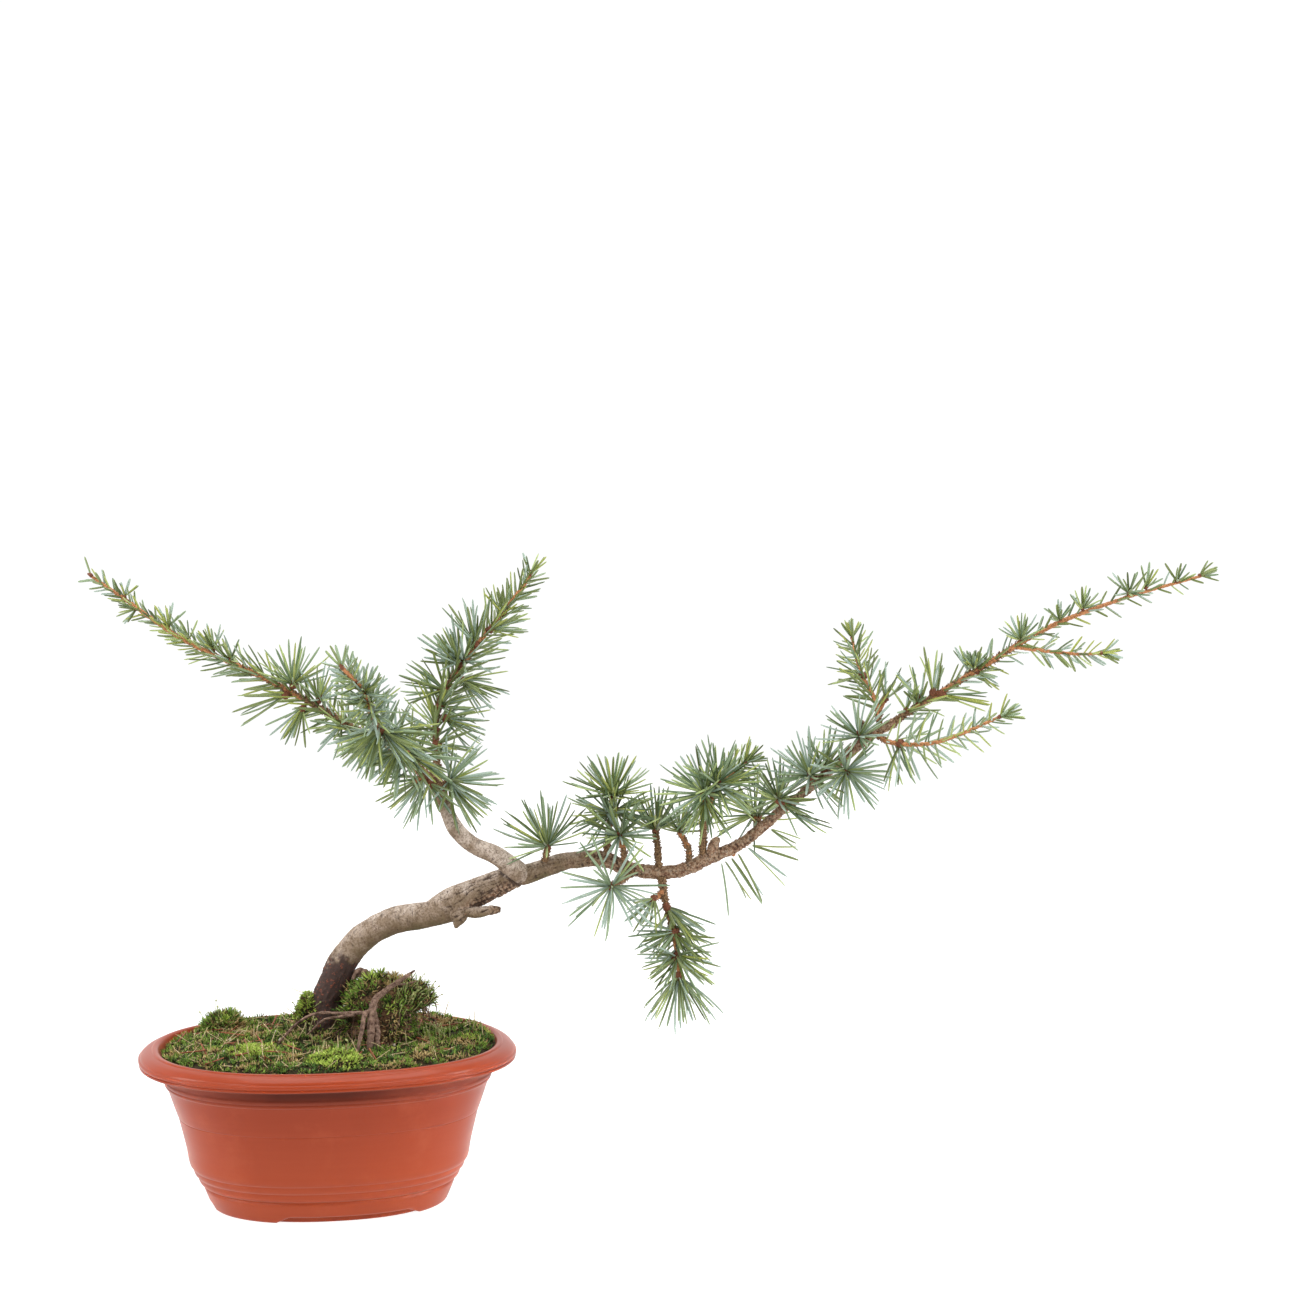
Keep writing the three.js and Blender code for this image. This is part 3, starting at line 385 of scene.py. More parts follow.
class Tint(Enum):
    """The needles' tints: a skin for the faces that look up and one for those that look down, darker in part
    as painted shade.
    """

    # Each second skin is the needle's green, darkened in part as painted shade for the faces that look down.
    BLUE = (
        NeedleSkin("bloomy_blue_skin", "#a5b7aa", "#8a9d8d"),
        NeedleSkin("blue_underside", "#7f8c57", "#667340"),
    )
    GREY_GREEN = (
        NeedleSkin("grey_green_skin", "#93a684", "#798d69"),
        NeedleSkin("grey_green_underside", "#727f42", "#5a6830"),
    )
    DEEP_GREEN = (
        NeedleSkin("deep_green_skin", "#6e8460", "#566c47"),
        NeedleSkin("deep_green_underside", "#54632e", "#414d22"),
    )
    FRESH = (
        NeedleSkin("fresh_green_skin", "#abba7b", "#91a461"),
        NeedleSkin("fresh_underside", "#a3ab52", "#8a9342"),
    )


class Grain:
    """Smooth noise in space that repeats from its seed."""

    def __init__(self, seed: int) -> None:
        """Sets the noise up.

        Args:
            seed: The seed of its slopes.
        """
        random = np.random.default_rng(seed)
        self.order = random.permutation(256)
        self.slopes = unit(random.normal(size=(256, 3)))

    def at(self, places: Array, size: float | Sequence[float]) -> Array:
        """Reads the noise.

        Args:
            places: Points, one to a row.
            size: The width of a grain, or its width along each axis.

        Returns:
            One number for each point, from about -1 to 1.
        """
        scaled = places / np.asarray(size, float)
        cell = np.floor(scaled).astype(int)
        part = scaled - cell
        fade = part * part * part * (part * (part * 6 - 15) + 10)
        total = np.zeros(len(places))
        for corner in np.ndindex(2, 2, 2):
            offset = np.array(corner)
            column = 0
            for axis in range(3):
                column = self.order[(column + cell[:, axis] + offset[axis]) & 255]
            weight = np.where(offset, fade, 1 - fade).prod(axis=1)
            total += weight * ((part - offset) * self.slopes[column]).sum(axis=1)
        return 1.6 * total


def metres(sizes: Sequence[float]) -> list[float]:
    """Returns sizes in millimetres as metres."""
    return [size * METRE for size in sizes]


def unit(vectors: Array) -> Array:
    """Returns the vectors at length 1."""
    return vectors / np.maximum(np.linalg.norm(vectors, axis=-1, keepdims=True), 1e-9)


def circle(sides: int) -> Array:
    """Returns the angles of that many points round a ring."""
    return np.arange(sides) / sides * FULL_TURN


def held(values: Array) -> Array:
    """Holds values between 0 and 1."""
    return np.clip(values, 0, 1)


def climb(values: Array, start: float, width: float) -> Array:
    """Returns 0 up to a start, rising to 1 at a width beyond it."""
    return held((values - start) / width)


def flat_points(x: Array, y: Array) -> Array:
    """Returns points at height 0."""
    return np.stack([x, y, 0 * x], axis=1)


def tilted(axis: Array, angle: Array, turn: Array) -> Array:
    """Tilts ways off their axes.

    Args:
        axis: The axes, one to a row.
        angle: The angle of each way to its axis.
        turn: The turn of each about its axis.

    Returns:
        The ways.
    """
    steep = np.abs(axis[:, 2:]) < 0.9
    side = unit(np.cross(np.where(steep, (0.0, 0.0, 1.0), (1.0, 0.0, 0.0)), axis))
    over = np.cross(side, axis)
    out = over * np.cos(turn)[:, None] + np.cross(axis, over) * np.sin(turn)[:, None]
    return axis * np.cos(angle)[:, None] + out * np.sin(angle)[:, None]


def nearest(points: Array, middles: Array) -> tuple[Array, Array]:
    """Finds the middle that lies nearest to each point.

    Args:
        points: The points.
        middles: The middles.

    Returns:
        The middle's number and its distance, for each point.
    """
    tree = KDTree(len(middles))
    for i, middle in enumerate(middles):
        tree.insert(middle, i)
    tree.balance()
    numbers, gaps = zip(*(tree.find(point)[1:] for point in points))
    return np.array(numbers), np.array(gaps)


def make_piece(
    name: str, points: Array, faces: Sequence[Array], finishes: Sequence[Material],
    parts: Sequence[Array] = (),
) -> Object:
    """Makes a mesh object.

    Args:
        name: The piece's name.
        points: Its points in millimetres, one to a row.
        faces: Arrays of faces, each array with faces of one number of corners.
        finishes: The materials of its slots.
        parts: For each array of faces, the slot of each face. All faces take the first slot without it.

    Returns:
        The object, linked to the scene.
    """
    mesh = bpy.data.meshes.new(name)
    loops = np.concatenate([array.ravel() for array in faces])
    sizes = np.concatenate([np.full(len(array), array.shape[1]) for array in faces])
    mesh.vertices.add(len(points))
    mesh.vertices.foreach_set("co", (points * METRE).astype(np.float32).ravel())
    mesh.loops.add(len(loops))
    mesh.loops.foreach_set("vertex_index", loops.astype(np.int32))
    mesh.polygons.add(len(sizes))
    mesh.polygons.foreach_set("loop_start", (np.cumsum(sizes) - sizes).astype(np.int32))
    for finish in finishes:
        mesh.materials.append(finish)
    if len(parts):
        mesh.polygons.foreach_set("material_index", np.concatenate(parts).astype(np.int32))
    mesh.update(calc_edges=True)
    mesh.shade_smooth()
    piece = bpy.data.objects.new(name, mesh)
    bpy.context.scene.collection.objects.link(piece)
    return piece


def ring_quads(rings: int, sides: int) -> Array:
    """Makes the faces between a stack of rings.

    Args:
        rings: The number of rings.
        sides: The number of points round each.

    Returns:
        The quads, one to a row.
    """
    row = np.arange(rings - 1)[:, None] * sides
    i = np.arange(sides)[None]
    after = (i + 1) % sides
    return np.stack([row + i, row + after, row + sides + after, row + sides + i], axis=2).reshape(-1, 4)


def closed_body(name: str, skin: Array, finishes: Sequence[Material], rising: bool = True) -> Object:
    """Makes a body of rings, closed at both ends.

    Args:
        name: The piece's name.
        skin: Its rings of points.
        finishes: The materials of its slots.
        rising: Whether the rings start at the bottom.

    Returns:
        The object.
    """
    rings, sides = skin.shape[:2]
    i = np.arange(sides)[None]
    faces = [ring_quads(rings, sides), i[:, ::-1], i + (rings - 1) * sides]
    if not rising:
        faces = [array[:, ::-1] for array in faces]
    return make_piece(name, skin.reshape(-1, 3), faces, finishes)


def bake_modifiers(piece: Object) -> None:
    """Turns what a piece's modifiers make into its own mesh.

    Args:
        piece: The piece.
    """
    made = bpy.data.meshes.new_from_object(piece.evaluated_get(bpy.context.evaluated_depsgraph_get()))
    piece.modifiers.clear()
    piece.data = made


def settle(piece: Object, slot: str, *nodes: str) -> None:
    """Makes a finished piece part of the plant and reports it.

    Args:
        piece: The finished piece.
        slot: A material slot's name; not used.
        nodes: The nodes that it stands for.
    """
    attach(piece, BODY)
    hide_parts(*nodes)
    LOG.info("%s: %d faces", piece.name, len(piece.data.polygons))


class Batch:
    """Meshes of one finish, gathered into one piece."""

    def __init__(self) -> None:
        """Starts with nothing."""
        self.meshes: list[tuple] = []
        self.count = 0

    def add(self, points: Array, quads: Array, triangles: Array, parts: tuple = ()) -> None:
        """Adds a mesh.

        Args:
            points: Its points.
            quads: Its faces of four corners.
            triangles: Its faces of three corners.
            parts: The slots of the quads and of the triangles, all 0 without it.
        """
        parts = parts or (np.zeros(len(quads)), np.zeros(len(triangles)))
        self.meshes.append((points, quads + self.count, triangles + self.count, *parts))
        self.count += len(points)

    def piece(self, name: str, finishes: Sequence[Material], smooth: bool = True) -> Object:
        """Makes the piece.

        Args:
            name: Its name.
            finishes: The materials of its slots.
            smooth: Whether its faces shade into each other.

        Returns:
            The object.
        """
        points, quads, triangles, *parts = (np.concatenate(column) for column in zip(*self.meshes))
        piece = make_piece(name, points, [quads, triangles], finishes, parts)
        if not smooth:
            piece.data.shade_flat()
        return piece


@dataclass(frozen=True)
class Line:
    """A sampled limb line: points, the way ahead, a way across, radii and lengths from its start."""

    points: Array
    ahead: Array
    across: Array
    radii: Array
    lengths: Array


def trace(route: Sequence[Bend], step: float) -> Line:
    """Samples the smooth curve through a limb's bends at even steps.

    Args:
        route: x, y, z and radius at each bend.
        step: The step between samples.

    Returns:
        The sampled line.
    """
    bends = np.array(route, float)
    knots = bends[:, :3]
    knots = np.vstack([2 * knots[0] - knots[1], knots, 2 * knots[-1] - knots[-2]])
    gaps = np.linalg.norm(np.diff(knots, axis=0), axis=1) ** 0.5
    share = np.linspace(0, 1, 60)[:, None]
    curve, radii = [], []
    for i in range(1, len(knots) - 2):
        before, start, end, after = knots[i - 1:i + 3]
        first, gap, last = gaps[i - 1:i + 2]
        leave = gap * ((start - before) / first - (end - before) / (first + gap) + (end - start) / gap)
        reach = gap * ((end - start) / gap - (after - start) / (gap + last) + (after - end) / last)
        cubic = 2 * start - 2 * end + leave + reach
        square = 3 * end - 3 * start - 2 * leave - reach
        curve.append(start + share * (leave + share * (square + share * cubic)))
        radii.append(bends[i - 1, 3] + share[:, 0] * (bends[i, 3] - bends[i - 1, 3]))
    dense = np.vstack(curve)
    run = np.concatenate([[0], np.cumsum(np.linalg.norm(np.diff(dense, axis=0), axis=1))])
    lengths = np.linspace(0, run[-1], max(3, round(run[-1] / step) + 1))
    points = np.stack([np.interp(lengths, run, dense[:, axis]) for axis in range(3)], axis=1)
    ahead = unit(np.gradient(points, axis=0))
    across = np.zeros_like(points)
    side = np.array([0.0, 1.0, 0.0])
    for i, way in enumerate(ahead):
        side = side - way * (way @ side)
        side = side / np.linalg.norm(side)
        across[i] = side
    return Line(points, ahead, across, np.interp(lengths, run, np.concatenate(radii)), lengths)


def wrapped(line: Line, sides: int, radius: float, start: float = 0.0) -> Array:
    """Lays a pattern's space along a limb and round it.

    Args:
        line: The sampled line.
        sides: The number of points round each ring.
        radius: The radius at which the pattern is read.
        start: Where along the pattern the limb starts.

    Returns:
        A place in the pattern for each point of each ring.
    """
    turn = np.tile(circle(sides), len(line.points))
    along = np.repeat(line.lengths, sides) + start
    return np.stack([along, radius * np.cos(turn), radius * np.sin(turn)], axis=1)


def round_limb(line: Line, sides: int, swell: Array | float = 1.0) -> tuple[Array, Array, Array]:
    """Skins a line with rings, domed at its tip and closed at both ends.

    Args:
        line: The sampled line.
        sides: The number of points round each ring.
        swell: The factor on the radius, alone or one for each point of each ring.

    Returns:
        Points, quads and triangles.
    """
    dome = np.sin(np.linspace(0, 0.5 * math.pi, 4)[1:-1])
    tip = line.radii[-1]
    points = np.vstack([line.points, line.points[-1] + np.outer(dome * tip, line.ahead[-1])])
    ahead, across = (np.vstack([ways, np.repeat(ways[-1:], 2, axis=0)]) for ways in (line.ahead, line.across))
    radii = np.concatenate([line.radii, tip * np.sqrt(1 - dome ** 2)])
    turn = circle(sides)[:, None]
    out = across[:, None] * np.cos(turn) + np.cross(ahead, across)[:, None] * np.sin(turn)
    if isinstance(swell, Array):
        swell = np.vstack([swell, np.repeat(swell[-1:], 2, axis=0)])[..., None]
    skin = (points[:, None] + out * radii[:, None, None] * swell).reshape(-1, 3)
    ends = np.array([points[0], line.points[-1] + tip * line.ahead[-1]])
    i = np.arange(sides)
    after, last = (i + 1) % sides, len(skin) - sides
    low = np.stack([np.full(sides, len(skin)), after, i], axis=1)
    high = np.stack([np.full(sides, len(skin) + 1), last + i, last + after], axis=1)
    return np.vstack([skin, ends]), ring_quads(len(points), sides), np.vstack([low, high])


def needles(start: Array, way: Array, length: Array, up: Array, bend: Array, half_width: float) -> tuple:
    """Makes four-sided needles that taper at both ends.

    Args:
        start: The foot of each.
        way: The way each leaves its foot.
        length: Their lengths.
        up: The way that their upper faces look.
        bend: How far each tip bows upwards, as a share of its length.
        half_width: Half the width of a needle.

    Returns:
        Points, quads, triangles and the slot of each face: 0 for the upper faces and 1 for the lower ones.
    """
    stations = np.array([0, 0.06, 0.3, 0.6, 0.85, 0.96])
    widths = np.array([0.5, 0.9, 1.0, 1.0, 0.9, 0.6])
    side = unit(np.cross(way, up))
    top = np.cross(side, way)
    reach = length[:, None, None]
    middle = start[:, None] + way[:, None] * reach * stations[:, None]
    middle = middle + top[:, None] * reach * (bend[:, None] * stations ** 2)[..., None]
    half = half_width * widths[:, None]
    out, over = side[:, None] * half, top[:, None] * half * 0.8
    corners = [out, over, -out, -over]
    last = (len(stations) - 1) * 4
    rings = (middle[:, :, None] + np.stack(corners, axis=2)).reshape(len(start), last + 4, 3)
    tip = start + way * length[:, None] + top * (length * bend)[:, None]
    points = np.concatenate([rings, tip[:, None]], axis=1).reshape(-1, 3)
    first = np.arange(len(start))[:, None, None] * (last + 5)
    quads = (first + ring_quads(len(stations), 4)[None]).reshape(-1, 4)
    ends = np.array([(last + i, last + (i + 1) % 4, last + 4) for i in range(4)])
    upper = np.array([0, 0, 1, 1])
    parts = (np.tile(upper, len(quads) // 4), np.tile(upper, len(start)))
    return points, quads, (first + ends[None]).reshape(-1, 3), parts


@dataclass
class Pot:
    """The oval pot: a flared body over three ledges, a rolled rim with moulded lines, short feet between
    shallow notches, and two drain holes. Each ring has a half-length and a height."""

    sides: int = 288
    width_ratio: float = 0.76
    squareness: float = 2.25
    turn: float = math.radians(10.5)
    shift: float = 0.5
    foot: Sequence = ((61.8, 0.0), (62.6, 0.6), (64.6, 5.5), (66.2, 9.4), (66.3, 10.4), (65.7, 11.4))
    ledges: Sequence = (
        (66.1, 11.8), (67.3, 12.3), (68.4, 13.0), (69.1, 14.2), (69.4, 15.6), (69.3, 16.4), (69.8, 16.8),
        (70.6, 17.3), (71.4, 18.2), (71.8, 19.5), (71.8, 20.7), (72.2, 21.1), (72.9, 21.7), (73.7, 22.9),
        (74.3, 25.5),
    )
    body: Sequence = (
        (75.1, 31.0), (77.7, 42.0), (79.2, 48.1), (79.3, 48.4), (79.1, 48.7), (79.7, 49.2), (82.7, 58.0),
        (84.3, 63.0),
    )
    under_rim: Sequence = (
        (85.2, 65.0), (85.8, 65.2), (86.3, 66.2), (85.9, 66.9), (86.3, 67.1), (87.0, 68.0), (87.2, 69.0),
        (86.8, 69.6), (87.1, 71.0), (88.2, 73.6), (90.0, 75.0), (93.0, 75.5),
    )
    lip: Sequence = (
        (97.4, 75.4), (98.6, 75.5), (99.3, 76.1), (99.2, 76.8), (98.6, 77.1), (98.9, 77.4), (99.6, 77.9),
        (99.6, 78.9), (99.0, 79.5), (98.6, 79.7), (98.6, 80.0),
    )
    crest: Sequence = (
        (98.0, 80.9), (95.6, 82.6), (93.4, 83.4), (92.4, 83.6), (92.2, 84.0), (91.6, 84.4), (90.3, 84.4),
    )
    inside: Sequence = (
        (89.2, 83.9), (88.5, 82.6), (86.4, 78.0), (71.6, 18.0), (63.0, 8.5), (60.0, 5.5), (30.0, 5.5),
    )
    notch_height: float = 3.4
    notch_depth: float = 3.2
    long_notch: float = 37.5
    notch_shift: float = 7.0
    end_notch: float = 14.0
    notch_slope: float = 7.0
    drain_radius: float = 4.5
    drain_spacing: float = 34.0
    crease: float = math.radians(50)

    def oval(self, turn: Array, half_length: Array | float, height: Array | float) -> Array:
        """Points of the pot's plan.

        Args:
            turn: Angles round the plan.
            half_length: The half-length of the plan at each.
            height: The height of each.

        Returns:
            The points, one to a row.
        """
        cos, sin = np.cos(turn), np.sin(turn)
        power = 2 / self.squareness
        x = np.sign(cos) * np.abs(cos) ** power * half_length
        y = np.sign(sin) * np.abs(sin) ** power * self.width_ratio * half_length
        c, s = math.cos(self.turn), math.sin(self.turn)
        return np.stack([c * x - s * y + self.shift, s * x + c * y, height + 0 * x], axis=-1)

    def axes(self, x: Array, y: Array) -> tuple[Array, Array]:
        """Returns how far places lie along the pot's own length and its own width."""
        c, s = math.cos(self.turn), math.sin(self.turn)
        return c * x + s * y, c * y - s * x

    def share(self, x: Array, y: Array) -> Array:
        """How far out in the plan places lie.

        Args:
            x: The places along X.
            y: The places along Y.

        Returns:
            The half-length of the plan's ring through each place.
        """
        along, over = self.axes(x - self.shift, y)
        power = self.squareness
        return (np.abs(along) ** power + (np.abs(over) / self.width_ratio) ** power) ** (1 / power)

    def profile(self) -> Array:
        """Eases the corners of the wall.

        Returns:
            The half-length and height of its rings, from the underside up and over the rim to the floor.
        """
        wall = (self.foot, self.ledges, self.body, self.under_rim, self.lip, self.crest, self.inside)
        rings = np.vstack(wall)
        for _ in range(2):
            low = 0.8 * rings[:-1] + 0.2 * rings[1:]
            high = 0.2 * rings[:-1] + 0.8 * rings[1:]
            rings = np.vstack([rings[:1], np.stack([low, high], axis=1).reshape(-1, 2), rings[-1:]])
        return rings

    def notch(self, points: Array) -> Array:
        """How far the notches between the feet cut in.

        Args:
            points: Points of the wall.

        Returns:
            For each point, 1 in a notch and 0 on a foot.
        """
        along, over = self.axes(points[..., 0], points[..., 1])
        along = along + self.notch_shift * np.clip(over / 20, -1, 1)
        gap = np.maximum(self.long_notch - np.abs(along), self.end_notch - np.abs(over))
        return held(gap / self.notch_slope)

    def pins(self) -> list[Object]:
        """Makes the pins that cut the drain holes.

        Returns:
            The pins.
        """
        turn = circle(32)
        found = []
        for along in (-self.drain_spacing, self.drain_spacing):
            x = along * math.cos(self.turn) + self.drain_radius * np.cos(turn)
            y = along * math.sin(self.turn) + self.drain_radius * np.sin(turn)
            found.append(closed_body("pin", flat_points(x, y) + [[[0, 0, -2.0]], [[0, 0, 10.0]]], []))
        return found

    def build(self) -> None:
        """Builds the pot and puts it in place."""
        inset = self.foot[0][0] - self.notch_depth
        rings = np.vstack([[(inset, 0.0), (inset + 0.2, 0.0)], self.profile()])
        skin = self.oval(circle(self.sides)[None], rings[:, :1], rings[:, 1:])
        low = skin[1:, :, 2]
        lift = self.notch(skin[1:]) * np.clip(self.notch_height - low, 0, None)
        skin[1:, :, 2] = low + 0.97 * lift
        pot = closed_body("oval_pot", skin, [MouldedPolypropylene().build()])
        cutters = self.pins()
        for cutter in cutters:
            cut = pot.modifiers.new("cut", "BOOLEAN")
            cut.operation, cut.solver, cut.object = "DIFFERENCE", "EXACT", cutter
        bake_modifiers(pot)
        for cutter in cutters:
            bpy.data.objects.remove(cutter)
        pot.data.shade_smooth()
        pot.data.set_sharp_from_angle(angle=self.crease)
        settle(pot, "pot_plastic", "pot")


@dataclass
class Ground:
    """The ground in the pot: a body of soil under a carpet of moss that rises towards the trunk's foot, with
    soft cushions on it. A cushion has a place, a radius and a height."""

    pot: Pot
    grain: Grain
    half_length: float = 88.2
    soil_half_length: float = 73.0
    soil_floor: float = 6.2
    moss_edge: float = 78.4
    moss_top: float = 84.6
    wall_top: float = 81.5
    sunk_end: float = 2.4
    foot: tuple[float, float] = (-5.0, 18.0)
    rise: float = 9.0
    rise_reach: float = 15.0
    cushions: Sequence[Bend] = ((-12, 15, 6.3, 15), (-60, 30, 9, 6), (9, -46, 14, 2.5), (-36, -28, 12, 2))

    def height(self, x: Array, y: Array) -> Array:
        """Height of the moss carpet.

        Args:
            x: The places along X.
            y: The places along Y.

        Returns:
            The height at each place.
        """
        flat = flat_points(x, y)
        waves = np.sin(0.32 * x + 0.7) * np.cos(0.39 * y - 0.4) + np.sin(0.19 * x - 0.53 * y + 2)
        off = ((x - self.foot[0]) ** 2 + (y - self.foot[1]) ** 2) / self.rise_reach ** 2
        inner = self.moss_top + 0.55 * waves + self.rise * np.exp(-off)
        inner += 0.9 * self.grain.at(flat, 9) + 0.5 * self.grain.at(flat, 3.4)
        share = self.pot.share(x, y) / self.half_length
        top = inner + (self.wall_top - inner) * climb(share, 0.86, 0.14) ** 2
        top = top - self.sunk_end * climb(-x, 62, 22) * climb(share, 0.7, 0.2)
        top = top + 1.2 * climb(share, 0.6, 0.3) * climb(y, 0, 20) * climb(x, 30, 20)
        for cx, cy, radius, high in self.cushions:
            top = top + high * np.sqrt(held(1 - ((x - cx) ** 2 + (y - cy) ** 2) / radius ** 2))
        return top

    def body(self, name: str, tops: Array, shares: Array, below: Sequence, finish: Finish) -> Object:
        """Makes a closed body from rings of the pot's plan.

        Args:
            name: The piece's name.
            tops: Heights, a row for each ring from the middle outwards.
            shares: Half-length of each ring.
            below: Half-length and height of each ring under it, from the wall back to the middle.
            finish: The finish.

        Returns:
            The object.
        """
        turn = circle(tops.shape[1])
        rings = self.pot.oval(turn[None], shares[:, None], tops)
        under = [self.pot.oval(turn, *ring) for ring in below]
        return closed_body(name, np.concatenate([rings, under]), [finish.build()], rising=False)

    def build(self) -> None:
        """Builds the soil and the moss carpet."""
        sides = 400
        shares = self.half_length * np.linspace(0.01, 1, 110)
        x, y, _ = self.pot.oval(circle(sides)[None], shares[:, None], 0.0).reshape(-1, 3).T
        tops = self.height(x, y).reshape(len(shares), sides)
        lower = ((self.half_length - 1.6, self.moss_edge), (0.9, self.moss_edge))
        # The carpet's body shows in the gaps between leaves, dark as thatch and as painted shade.
        settle(self.body("moss_carpet", tops, shares, lower, Finish.THATCH), "moss", "moss")
        shares = (self.half_length - 2.4) * np.linspace(0.01, 1, 50)
        tops = np.full((len(shares), sides), self.moss_edge - 0.4)
        low = self.soil_floor
        lower = ((self.soil_half_length - 2, 20.0), (62.0, 9.0), (59.0, low), (0.9, low))
        settle(self.body("potting_soil", tops, shares, lower, Finish.SOIL), "potting_soil", "soil")


@dataclass
class RootMound:
    """The lump of rooty earth and moss to the right of the trunk's foot: steep beside the trunk, sloping to
    the front, and undercut at the right, where its turf hangs over."""

    grain: Grain
    centre: tuple[float, float] = (31.0, 9.0)
    radii: tuple[float, float] = (22.5, 20.0)
    neck: float = 11.0
    base: float = 80.8
    top: float = 115.6
    steepness: tuple[float, float] = (3.0, 7.0)

    def outward(self, points: Array, height: float) -> Array:
        """Returns the ways to points from the place on the mound's axis at that height."""
        return unit(points - np.array([*self.centre, height]))

    def surface(self, level: Array, turn: Array) -> Array:
        """Points of the mound.

        Args:
            level: The share of its height, from 0 to 1.
            turn: The angle round it.

        Returns:
            The points, one to a row.
        """
        cos, sin = np.cos(turn), np.sin(turn)
        power = self.steepness[0] + self.steepness[1] * cos ** 2
        ripple = np.sin(3 * turn + 9 * level) + np.sin(5 * turn - 7 * level)
        share = (1 - level ** power) ** 0.5 * (1 + 0.06 * ripple)
        under = held((0.66 - level) / 0.2)
        undercut = self.neck * under * under * (3 - 2 * under) * held(1.5 * cos)
        x = self.centre[0] + (self.radii[0] * share - undercut) * cos
        y = self.centre[1] + self.radii[1] * share * sin - 5 * held(1 - level) * held(-sin)
        flat = np.stack([x, y, self.base + level * (self.top - self.base)], axis=-1)
        lumps = 2.2 * self.grain.at(flat, 8) + 1.5 * self.grain.at(flat, 3.6) + 0.6 * self.grain.at(flat, 1.4)
        lumps -= 2.5 * held(self.grain.at(flat + 31, 5) - 0.25)
        return flat + self.outward(flat, self.base + 10) * (np.minimum(1, level * 8) * lumps - 0.4)[:, None]

    def build(self) -> None:
        """Builds the mound and puts it in place."""
        sides, rings = 220, 120
        level = np.repeat(1 - (1 - np.linspace(0, 0.999, rings)) ** 1.6, sides)
        skin = self.surface(level, np.tile(circle(sides), rings)).reshape(rings, sides, 3)
        settle(closed_body("root_mound_earth", skin, [Finish.ROOTY_EARTH.build()]), "moss", "root_mound")


class Moss(IntEnum):
    """The kinds of moss leaves."""

    BRIGHT = 0
    DRY = 1
    DEEP = 2
    MID = 3
    DEAD = 4


